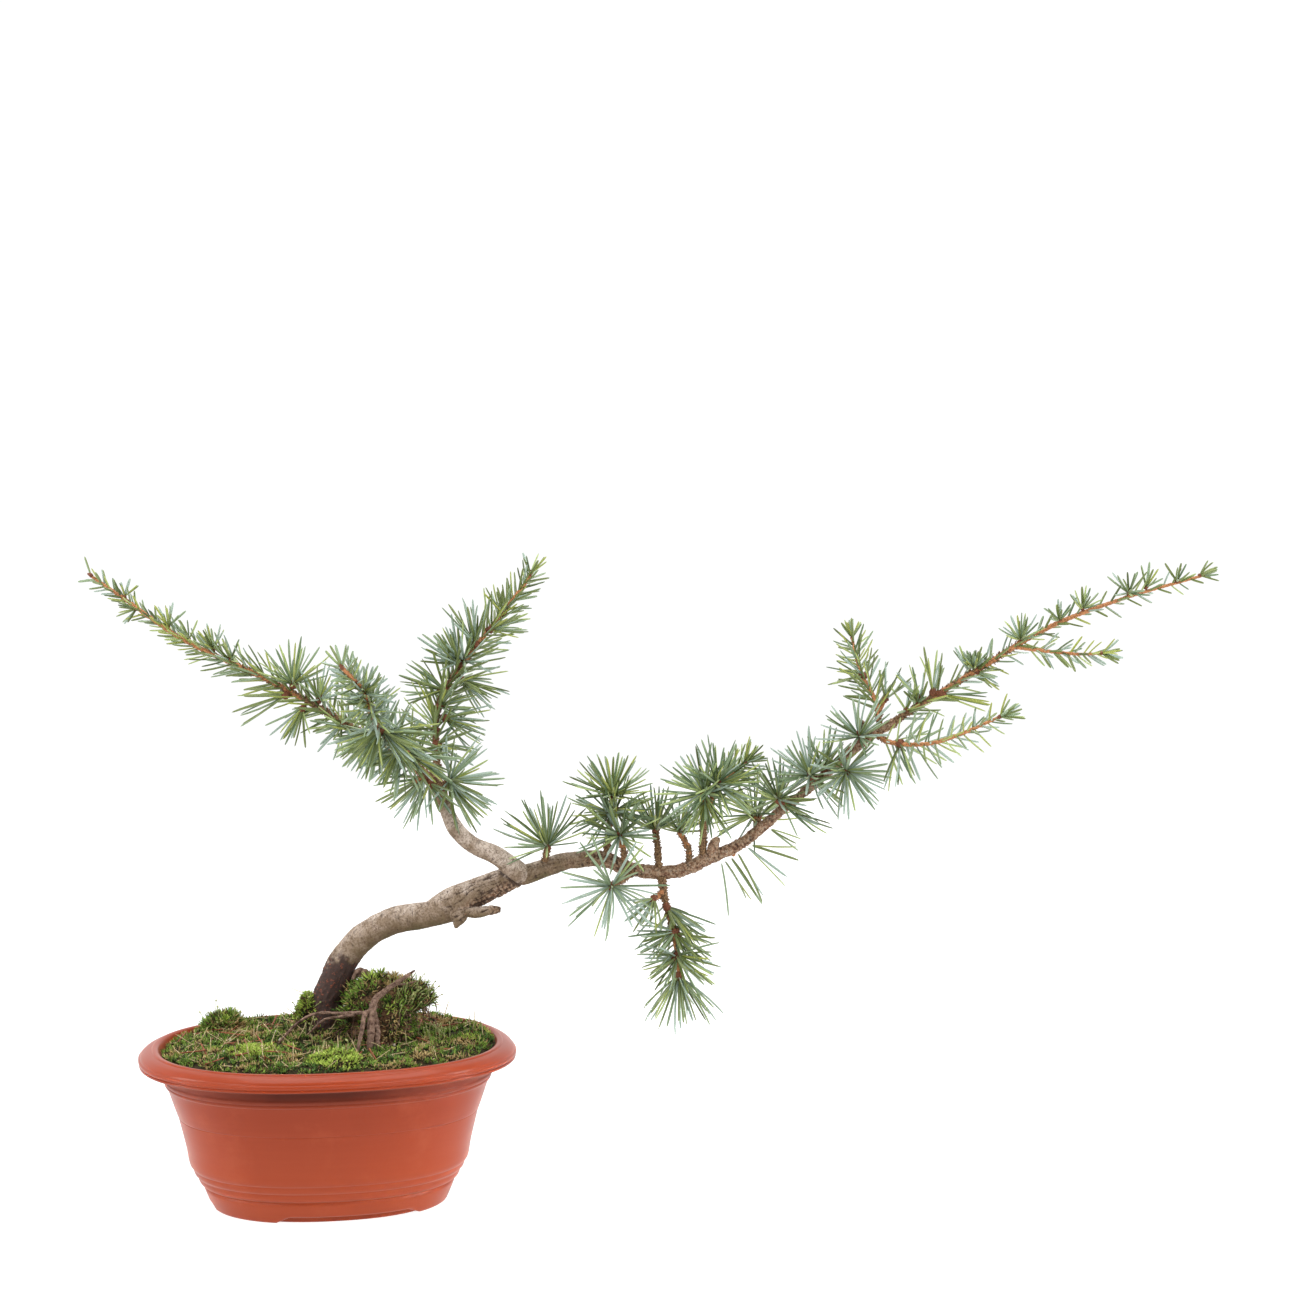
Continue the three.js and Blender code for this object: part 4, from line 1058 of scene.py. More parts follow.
@dataclass
class MossLeaves:
    """The moss's own leaves, in little rosettes on the carpet, the cushions and the mound: mid green, with
    deep green, bright and dry patches, and with dead leaves low in each rosette."""

    ground: Ground
    mound: RootMound
    grain: Grain
    carpet_tufts: int = 3300
    mound_tufts: int = 880
    cushion_tufts: int = 170
    seed: int = 5
    reach: float = 86.5
    leaves: int = 9
    length: float = 3.3
    width: float = 0.6
    shaggy: tuple[float, float, float] = (-60.0, 30.0, 10.0)

    @cached_property
    def random(self) -> Random:
        """Their own source of chance."""
        return np.random.default_rng(self.seed)

    def carpet(self) -> tuple[Array, Array]:
        """Deals out the tufts of the carpet and its cushions.

        Returns:
            Their places and the way each grows.
        """
        turn = self.random.random(self.carpet_tufts) * FULL_TURN
        share = self.reach * np.sqrt(self.random.random(self.carpet_tufts))
        places = [self.ground.pot.oval(turn, share, 0.0)]
        for x, y, radius, _ in self.ground.cushions:
            angle = self.random.random(self.cushion_tufts) * FULL_TURN
            out = radius * self.random.random(self.cushion_tufts) ** 0.4
            places.append(flat_points(x + out * np.cos(angle), y + out * np.sin(angle)))
        return self.slope(np.vstack(places))

    def slope(self, places: Array) -> tuple[Array, Array]:
        """Sets places on the carpet.

        Args:
            places: The places in plan.

        Returns:
            The places on the carpet and the carpet's outward way at each.
        """
        x, y, step = places[:, 0], places[:, 1], 0.4
        height = self.ground.height(x, y)
        dx = (self.ground.height(x + step, y) - height) / step
        dy = (self.ground.height(x, y + step) - height) / step
        return np.stack([x, y, height], axis=1), unit(np.stack([-dx, -dy, 1 + 0 * x], axis=1))

    def build(self) -> None:
        """Builds the leaves, a piece for each kind."""
        places, ways = self.carpet()
        turn = self.random.random(self.mound_tufts) * FULL_TURN
        level = np.clip(1 - self.random.random(self.mound_tufts) ** 1.2, 0.03, 0.985)
        on_mound = self.mound.surface(level, turn)
        out = self.mound.outward(on_mound, self.mound.base + 6)
        mossy = (level > 0.92) | (self.grain.at(on_mound, 7) > -0.22)
        places, ways = np.vstack([places, on_mound[mossy]]), np.vstack([ways, out[mossy]])
        tall = self.tall(places)
        kind = self.kinds(places, tall)
        foot, aim, low = self.spread(places, ways)
        kind = np.repeat(kind, self.leaves)
        chance = self.random.random(len(low))
        kind[(low > 0.8) & (chance < 0.55)] = Moss.DEAD
        kind[(low > 0.8) & (chance > 0.9)] = Moss.DRY
        earthy = 0.7 * held((104 - foot[:, 2]) / 10) * (foot[:, 2] > 90) * (foot[:, 0] < 36)
        earthy += 0.35 * (foot[:, 0] > 42) * (foot[:, 2] > 100)
        kind[chance < 0.7 * earthy] = Moss.DEAD
        length = self.length * np.repeat(tall, self.leaves) * self.random.uniform(0.5, 1.25, len(foot))
        for moss in Moss:
            chosen = kind == moss
            piece = self.blades(moss, foot[chosen], aim[chosen], length[chosen])
            settle(piece, "moss", "moss", "root_mound")

    def kinds(self, places: Array, tall: Array) -> Array:
        """Deals the kinds of moss out in patches.

        Args:
            places: The foot of each rosette.
            tall: How much longer its leaves are than on the plain carpet.

        Returns:
            The kind at each place.
        """
        patch = self.grain.at(places + (3, 9, 0), 16) + 0.5 * self.grain.at(places, 5)
        patch += self.random.normal(0, 0.22, len(patch))
        bright = np.zeros(len(places), bool)
        for x, y, radius, _ in self.ground.cushions:
            bright |= (places[:, 0] - x) ** 2 + (places[:, 1] - y) ** 2 < (radius * 1.02) ** 2
        bright &= (self.random.random(len(places)) < 0.85) & (tall < 1.3)
        bright |= (np.abs(patch) < 0.3) & (self.grain.at(places, 8) > 0.42)
        return np.select([bright, patch < -0.34, patch > 0.3], [Moss.BRIGHT, Moss.DRY, Moss.DEEP], Moss.MID)

    def tall(self, places: Array) -> Array:
        """How long the leaves grow: long on the mound and on the tussock at the back, and uneven everywhere.

        Args:
            places: The foot of each rosette.

        Returns:
            How much longer its leaves are than on the plain carpet.
        """
        x, y, z = places.T
        cx, cy, reach = self.shaggy
        tussock = (x - cx) ** 2 + (y - cy) ** 2 < reach ** 2
        (mx, my), (rx, ry) = self.mound.centre, self.mound.radii
        on_mound = (((x - mx) / rx) ** 2 + ((y - my) / ry) ** 2 < 1.5) & (z > 90)
        return 1 + 0.7 * tussock + 0.75 * on_mound + 0.45 * np.clip(self.grain.at(places, 12), -0.8, 1)

    def spread(self, places: Array, ways: Array) -> tuple[Array, Array, Array]:
        """Spreads the leaves of each rosette.

        Args:
            places: The foot of each rosette.
            ways: The way each rosette grows.

        Returns:
            The foot and way of each leaf and its angle to the rosette's way.
        """
        way = np.repeat(ways, self.leaves, axis=0)
        foot = np.repeat(places, self.leaves, axis=0) + self.random.normal(0, 0.3, way.shape) * (1, 1, 0.3)
        foot -= 0.4 * way
        start = np.repeat(self.random.random(len(places)), self.leaves)
        turn = FULL_TURN * (start + np.tile(np.arange(self.leaves) * GOLDEN[1], len(places)))
        low = self.random.uniform(0.15, 1.3, len(foot))
        return foot, unit(tilted(way, low, turn) + self.random.normal(0, 0.1, foot.shape)), low

    def blades(self, moss: Moss, foot: Array, aim: Array, length: Array) -> Object:
        """Makes a kind's leaves: narrow curved blades, dark at the foot where the light never reached.

        Args:
            moss: The kind.
            foot: The foot of each leaf.
            aim: The way each leaves its foot.
            length: Their lengths.

        Returns:
            The object.
        """
        reach = aim * length[:, None]
        side = unit(np.cross(aim, self.random.normal(0, 1, foot.shape))) * self.width * 0.5
        bow = np.cross(side, aim) * length[:, None] * self.random.uniform(-0.5, 0.9, len(foot))[:, None]
        middle, high = foot + reach * 0.45 + bow * 0.5, foot + reach * 0.8 + bow * 0.4
        corners = [
            foot - 0.5 * side, foot + 0.5 * side, middle - side, middle + side,
            high - 0.75 * side, high + 0.75 * side, foot + reach - bow * 0.2,
        ]
        points = np.stack(corners, axis=1).reshape(-1, 3)
        first = np.arange(len(foot))[:, None] * len(corners)
        faces = [first + corner for corner in ([0, 1, 3, 2], [2, 3, 5, 4], [4, 5, 6])]
        parts = [np.full(len(foot), part) for part in (1, 0, 0)]
        finishes = [Finish["MOSS_" + moss.name].build(), Finish.MOSS_SHADED.build()]
        return make_piece(moss.name.lower() + "_moss_leaves", points, faces, finishes, parts)


@dataclass
class Litter:
    """What lies and stands on the moss: old roots, root fibres, fallen needles, straw, moss capsules on their
    stalks and grit. Each root has a name, the node that it stands for and its route."""

    leaves: MossLeaves
    grain: Grain
    roots: Sequence = (
        ("long_root", "old_root_long", (
            (46.8, -1, 123, 0.6), (41.7, -3, 119.7, 0.95), (36.6, -6, 116.8, 1.2), (31.7, -10, 113.9, 1.5),
            (27.3, -14, 110.6, 1.8), (25.4, -18, 104, 2.1), (25.2, -21, 97, 1.9), (24.4, -24, 84, 1.5),
        )),
        ("pale_root", "old_root_long", (
            (48.6, -4, 118, 0.3), (42, -7, 117, 0.42), (36.9, -9, 116.9, 0.5), (30.5, -13, 113, 0.6),
        )),
        ("root_fork", "old_root_stump", (
            (24.5, -19, 106, 0.9), (21.8, -21, 103, 1.15), (20.9, -25, 97, 1.1), (18.6, -28, 86, 0.9),
        )),
        ("root_stump", "old_root_stump", ((26.4, -16, 105, 1.4), (27.8, -19, 97, 1.7), (28.4, -21, 84, 1.5))),
        ("low_root", "old_root_low", (
            (-25, -8, 85.5, 0.6), (-14, -6, 96.5, 0.7), (-4, -8, 101.5, 0.7), (8, -13, 102.6, 0.8),
            (23, -19.5, 104.5, 1.1),
        )),
        ("second_root", "old_root_low", (
            (-9, -11, 91, 0.45), (0, -12, 99, 0.6), (9, -14.5, 101.2, 0.7), (16, -18, 103, 0.8),
        )),
        ("bark_bit", "root_mound", (
            (12.6, 12, 115.5, 1.2), (15.5, 12, 119, 2.4), (19.5, 11, 118.6, 2.2), (23, 10, 116, 1.2),
        )),
    )
    root_sides: int = 20
    seed: int = 8
    reach: float = 82.0
    fibres: int = 70
    fallen: int = 46
    straws: int = 300
    capsules: int = 44
    grits: int = 30

    @cached_property
    def random(self) -> Random:
        """Their own source of chance."""
        return np.random.default_rng(self.seed)

    def build(self) -> None:
        """Builds the litter, a piece for each kind."""
        bark = Finish.DEAD_ROOT.build()
        for name, node, route in self.roots:
            line = trace(route, 0.35)
            wood = wrapped(line, self.root_sides, 3)
            swell = 1 + 0.3 * self.grain.at(wood, (5, 1.8, 1.8)) + 0.2 * self.grain.at(wood, (1.3, 2, 2))
            points, *faces = round_limb(line, self.root_sides, swell.reshape(-1, self.root_sides))
            settle(make_piece("weathered_" + name, points, faces, [bark]), "dead_root", node)
        self.build_fibres(bark)
        self.build_fallen()
        self.build_straws()
        self.build_capsules()
        self.build_grit()

    def places(self, count: int) -> tuple[Array, Array]:
        """Spreads places over the carpet, clear of the mound.

        Args:
            count: How many at most.

        Returns:
            The places and the carpet's outward way at each.
        """
        turn = self.random.random(count) * FULL_TURN
        flat = self.leaves.ground.pot.oval(turn, self.reach * np.sqrt(self.random.random(count)), 0.0)
        cx, cy = self.leaves.mound.centre
        clear = ((flat[:, 0] - cx) / 22) ** 2 + ((flat[:, 1] - cy) / 20) ** 2 > 1
        return self.leaves.slope(flat[clear])

    def build_fibres(self, bark: Material) -> None:
        """Builds the root fibres that hang out of the mound.

        Args:
            bark: Their material.
        """
        batch = Batch()
        for _ in range(self.fibres):
            turn = self.random.uniform(-2.9, 0.5)
            level = self.random.uniform(0.25, 0.8)
            start = self.leaves.mound.surface(np.array([level]), np.array([turn]))[0]
            out = self.leaves.mound.outward(start, 100.0) * (1, 1, 0)
            reach, drop = self.random.uniform(0.8, 2.5), self.random.uniform(5, 14)
            sway = self.random.normal(0, 1.6, 2)
            fall = max(start[2] - drop, 86.5) - start[2]
            middle = start + out * reach + (*sway, fall * 0.5)
            end = start + out * reach * 0.6 + (*(sway * 1.6), fall)
            radius = self.random.uniform(0.14, 0.4)
            route = ((*(start - out), radius), (*middle, radius), (*end, radius * 0.6))
            batch.add(*round_limb(trace(route, 1.2), 5))
        settle(batch.piece("root_fibres", [bark]), "dead_root", "root_mound")

    def build_fallen(self) -> None:
        """Builds the fallen needles, gone rust brown."""
        places, ways = self.places(self.fallen)
        count = len(places)
        flat = unit(np.cross(ways, self.random.normal(0, 1, ways.shape)))
        length = self.random.uniform(9, 19, count)
        start = places - flat * length[:, None] / 2 + ways * self.random.uniform(1.8, 3.2, count)[:, None]
        bend = self.random.uniform(-0.06, 0.1, count)
        points, *faces, parts = needles(start, flat, length, ways, bend, 0.45)
        finishes = [Finish.FALLEN_NEEDLE.build()] * 2
        settle(make_piece("fallen_needles", points, faces, finishes, parts), "dead_root", "moss")

    def build_straws(self) -> None:
        """Builds the bits of bleached straw."""
        places, ways = self.places(self.straws)
        count = len(places)
        lean = np.cross(ways, self.random.normal(0, 1, ways.shape))
        lean = unit(lean + ways * self.random.uniform(0, 0.7, count)[:, None])
        length = self.random.uniform(3, 11, count)
        start = places + ways * self.random.uniform(0.6, 1.6, count)[:, None]
        bend = self.random.uniform(-0.3, 0.4, count)
        points, *faces, parts = needles(start, lean, length, ways, bend, 0.24)
        settle(make_piece("bleached_straw", points, faces, [Finish.STRAW.build()] * 2, parts), "moss", "moss")

    def build_capsules(self) -> None:
        """Builds the moss capsules on their stalks, most of them left of the trunk and right of the mound."""
        around = np.array([(-17, 9), (-12, 8), (58, 2), (54, 6), (-60, 28), (10, -44)])
        chosen = self.random.integers(0, len(around), self.capsules)
        places, ways = self.leaves.slope(around[chosen] + self.random.normal(0, 4.0, (self.capsules, 2)))
        turn = self.random.uniform(-1.3, 0.4, self.capsules)
        level = self.random.uniform(0.5, 0.93, self.capsules)
        edge = self.leaves.mound.surface(level, turn)
        out = self.leaves.mound.outward(edge, self.leaves.mound.base + 14)
        batch = Batch()
        for place, way in zip(np.vstack([places, edge]), np.vstack([ways, out])):
            lean = unit(way + self.random.normal(0, 0.25, 3) + (0, 0, 0.8))
            high = self.random.uniform(4.5, 9.5)
            bow = self.random.normal(0, 0.5, 3)
            knee, top = place + lean * high * 0.6 + bow, place + lean * high
            nod = top + lean * 0.5 + self.random.normal(0, 0.5, 3)
            batch.add(*round_limb(trace(((*place, 0.25), (*knee, 0.2), (*top, 0.2)), 1.4), 5))
            batch.add(*round_limb(trace(((*top, 0.2), (*((top + nod) / 2), 0.55), (*nod, 0.34)), 0.3), 7))
        settle(batch.piece("moss_capsules", [Finish.CAPSULE.build()]), "moss", "moss")

    def build_grit(self) -> None:
        """Builds the pale grains of grit."""
        batch = Batch()
        for place, way in zip(*self.places(self.grits)):
            size = self.random.uniform(0.35, 0.8)
            foot = place + way * 0.8
            middle, top = foot + way * size, foot + way * size * 1.7
            line = trace(((*foot, size * 0.7), (*middle, size), (*top, size * 0.6)), 0.35)
            batch.add(*round_limb(line, 7, self.random.uniform(0.75, 1.2, (len(line.points), 7))))
        settle(batch.piece("grit", [Finish.GRIT.build()]), "potting_soil", "moss")


@dataclass
class Timber:
    """The living wood: the leaning trunk with its stub and knobs, and the two boughs, in one skin whose
    relief is wrinkled across the trunk, cracked by the stub, flaky at the foot and scaly on the long bough.
    """

    grain: Grain
    trunk: Sequence[Bend] = (
        (-6, 18, 84, 9.6), (-3.2, 18, 98, 9.3), (2.6, 17, 113, 8.2), (8, 16, 126, 7.1), (20, 14, 139, 7.4),
        (36, 12, 147.5, 7.5), (54, 8, 151.5, 6.6), (66, 6, 157, 8.9), (80, 4, 164, 8.1), (97, 2, 172, 6.3),
    )
    right: Sequence[Bend] = (
        (95, 2, 171, 5.8), (108, 2, 174.5, 5.2), (127, 5, 180.5, 4.7), (146, 7, 181, 4.2),
        (162, 2, 176.5, 3.8), (185, 0, 176, 3.5), (202, 0, 183, 3.6), (220, -2, 192, 2.9),
        (240, -4, 209, 2.6), (261, -8, 227, 2.5), (283, -11, 247, 2.5), (297, -12, 256, 2.7),
    )
    left: Sequence[Bend] = (
        (102, -1, 175, 6), (91, -6, 185, 4.8), (78, -9, 192, 4.4), (69, -11, 201, 4.2), (64, -12, 213, 3.6),
        (60, -12, 224, 3.7),
    )
    stub: Sequence[Bend] = ((70, 4, 158, 4.2), (78, -4, 155, 3.2), (91, -8, 157, 2.3))
    knobs: Sequence = (
        ((70, 3, 156, 6), (70, -3, 151, 4.3), (69, -4, 147.2, 1.6)),
        ((203, -1, 184, 2.6), (204.5, -3.5, 190.5, 3.0), (206, -4, 192.5, 2.2)),
        ((284, -11, 250, 2), (281, -12, 256, 1.8)), ((137, 6, 181, 3.4), (136, 1, 184.5, 2.2)),
        ((228, -3, 199, 2.4), (229, -6, 202, 1.5)), ((83, -8, 189, 3.4), (82, -12, 190.5, 1.5)),
        ((72, -10, 198, 3.2), (68.5, -13.5, 198.5, 1.3)),
    )
    flare_height: float = 7.0
    voxel: float = 0.5
    sides: int = 40

    def limbs(self, step: float) -> list[Line]:
        """Returns the lines of the trunk and the two boughs, sampled at that step."""
        return [trace(route, step) for route in (self.trunk, self.right, self.left)]

    def build(self) -> None:
        """Builds the wood and puts it in place."""
        batch = Batch()
        limbs = self.limbs(1.5)
        turn = circle(self.sides)
        for i, line in enumerate([*limbs, *(trace(route, 1.5) for route in (self.stub, *self.knobs))]):
            swell = np.ones((len(line.points), self.sides))
            if i == 0:
                flare = np.exp(-(line.points[:, 2] - line.points[0, 2]) / self.flare_height)
                swell += flare[:, None] * (0.28 + 0.09 * np.cos(5 * turn))
                swell += 0.05 * np.sin(2 * turn + line.lengths[:, None] / 9)
            batch.add(*round_limb(line, self.sides, swell))
        wood = batch.piece("living_wood", [LivingBark().build()])
        fuse = wood.modifiers.new("fuse", "REMESH")
        fuse.mode, fuse.voxel_size = "VOXEL", self.voxel * METRE
        ease = wood.modifiers.new("ease", "SMOOTH")
        ease.factor, ease.iterations = 0.5, 8
        bake_modifiers(wood)
        self.carve(wood.data, limbs)
        wood.data.shade_smooth()
        settle(wood, "bark", "trunk", "bough_right", "bough_left")

    def carve(self, mesh: bpy.types.Mesh, lines: Sequence[Line]) -> None:
        """Carves the bark's relief into the skin, and notes for the material the painted shade of its
        hollows, the foot, the scales and which way each face looks.

        Args:
            mesh: The wood's mesh.
            lines: The lines of the trunk and the two boughs.
        """
        flat = np.empty(len(mesh.vertices) * 3, np.float32)
        mesh.vertices.foreach_get("co", flat)
        points = flat.reshape(-1, 3).astype(float) / METRE
        mesh.vertex_normals.foreach_get("vector", flat)
        normals = flat.reshape(-1, 3).astype(float)
        middles = np.vstack([line.points for line in lines])
        close, _ = nearest(points, middles)
        limb = np.concatenate([np.full(len(line.points), i) for i, line in enumerate(lines)])[close]
        ahead = np.vstack([line.ahead for line in lines])[close]
        across = np.vstack([line.across for line in lines])[close]
        off = points - middles[close]
        along = np.concatenate([line.lengths for line in lines])[close] + (off * ahead).sum(axis=1)
        rise = (off * np.cross(ahead, across)).sum(axis=1)
        place = np.stack([along + 400 * limb, (off * across).sum(axis=1), rise], axis=1)
        x, y, z = points.T
        gaps = []
        for line in lines:
            numbers, gap = nearest(points, line.points)
            gaps.append(gap - line.radii[numbers])
        trunk, right, left = (limb == i for i in range(3))
        grain = self.grain.at
        ragged = 5 * grain(points, 6) + 4 * grain(points, 2.2) + 2 * grain(points, 1.1)
        foot = held((129 - z + ragged) / 5) * trunk
        on_right = right * held((x - 118 + 14 * grain(points, 9)) / 30)
        collar = left * climb(z, 214, 5)
        below = -rise / (1 + np.linalg.norm(off, axis=1))
        lobe = trunk * climb(x, 68, 8) * held(2.2 * (below + 0.25 * grain(points, 7)))
        lobe = lobe * held((1.8 - gaps[0]) / 0.8)
        joint = held(1 - np.abs(x - 96) / 12) * held(2 * below + 0.4) * (trunk | right)
        scaly = held(on_right + collar + lobe + joint)
        wrinkle = grain(place, (1.0, 4.5, 4.5)) + 0.6 * grain(place, (0.6, 2.4, 2.4))
        lump = grain(place, (9, 6, 6))
        relief = 0.13 * wrinkle + 0.42 * lump
        plates = grain(place, (3.6, 2.2, 2.2)) + 0.5 * grain(place, (1.4, 1.1, 1.1))
        edges = held(1 - np.abs(plates) / 0.16)
        relief += scaly * (0.5 * np.round(2 * plates) / 2 - 0.42 * edges)
        flakes = grain(place, (4.2, 1.7, 1.7)) + 0.6 * grain(place, (1.6, 0.9, 0.9))
        relief += foot * (0.42 * np.round(2.5 * flakes) / 2.5)
        torn = trunk * held(1 - np.abs(x - 80) / 21) ** 0.4 * (y < 6)
        torn = torn + 0.5 * right * held((172 - x) / 12) * (gaps[1] < 1.5)
        cracks = held(1 - np.abs(grain(place, (12, 2.0, 2.0))) / 0.17) * torn
        seam = np.exp(-(((gaps[0] - gaps[2] - 0.6 * grain(points, 3)) / 0.9) ** 2)) * (gaps[0] < 4) * (x > 84)
        cracks = np.maximum(cracks, seam)
        relief -= 1.1 * cracks
        pits = held(grain(place, (1.5, 2.6, 2.6)) - 0.5) * (1 - scaly) * (1 - foot)
        relief -= 0.9 * pits
        # Which way each face looks: low and pale on top as painted light, high and olive below, partly algae
        # and partly painted shade; the lower left bough is paler in its own tone, the right bough a little
        # darker.
        lit_side_and_tone = 0.5 - 0.42 * normals[:, 2] - 0.36 * (left & (z < 214)) + 0.12 * right
        rings = held(np.sin(along * FULL_TURN / 2.6 + 2 * lump) - 0.55) * (scaly * 0.5 + 0.12)
        relief -= 0.45 * rings
        points += normals * relief[:, None]
        mesh.vertices.foreach_set("co", (points * METRE).astype(np.float32).ravel())
        # Painted shade on the downward side of the knee's lobe and of the joint.
        knee_underside_shade = held(grain(place, (7, 2.6, 2.6)) + 0.55) * held(lobe + joint)
        # Painted shade, kept as the relief value: darker in cracks, pits, rings, between scales and under the
        # knee.
        shade = 0.5 + 0.35 * wrinkle - 0.34 * knee_underside_shade - 0.6 * cracks - 0.8 * pits - 0.3 * edges * scaly
        shade = shade + 0.15 * flakes * foot - 0.35 * rings
        for name, numbers in (("relief", shade), ("foot", foot), ("scaly", scaly), ("side", lit_side_and_tone)):
            layer = mesh.attributes.new(name, "FLOAT", "POINT")
            layer.data.foreach_set("value", held(numbers).astype(np.float32))


@dataclass(frozen=True)
class Fan:
    """A rosette: where it sits, the way it faces, its needles' length and count, and the widest angle between
    a needle and the way it faces, in degrees."""

    at: Point
    facing: Point
    length: float
    count: int
    widest: float


@dataclass(frozen=True)
class Row:
    """Needles along a shoot: the stem's number, the shares of it between which they stand, their count, their
    length at the row's start and at its end, and their angle to the shoot, in degrees."""

    stem: int
    start: float
    end: float
    count: int
    longest: float
    shortest: float
    angle: float


@dataclass(frozen=True)
class Spray:
    """A needled shoot or spur: its seed, the shares of its needles that are fresh and deep green, the stems
    it grows on, its rosettes and its rows."""

    name: str
    seed: int
    fresh: float
    deep: float
    stems: tuple
    fans: tuple[Fan, ...]
    rows: tuple[Row, ...] = ()


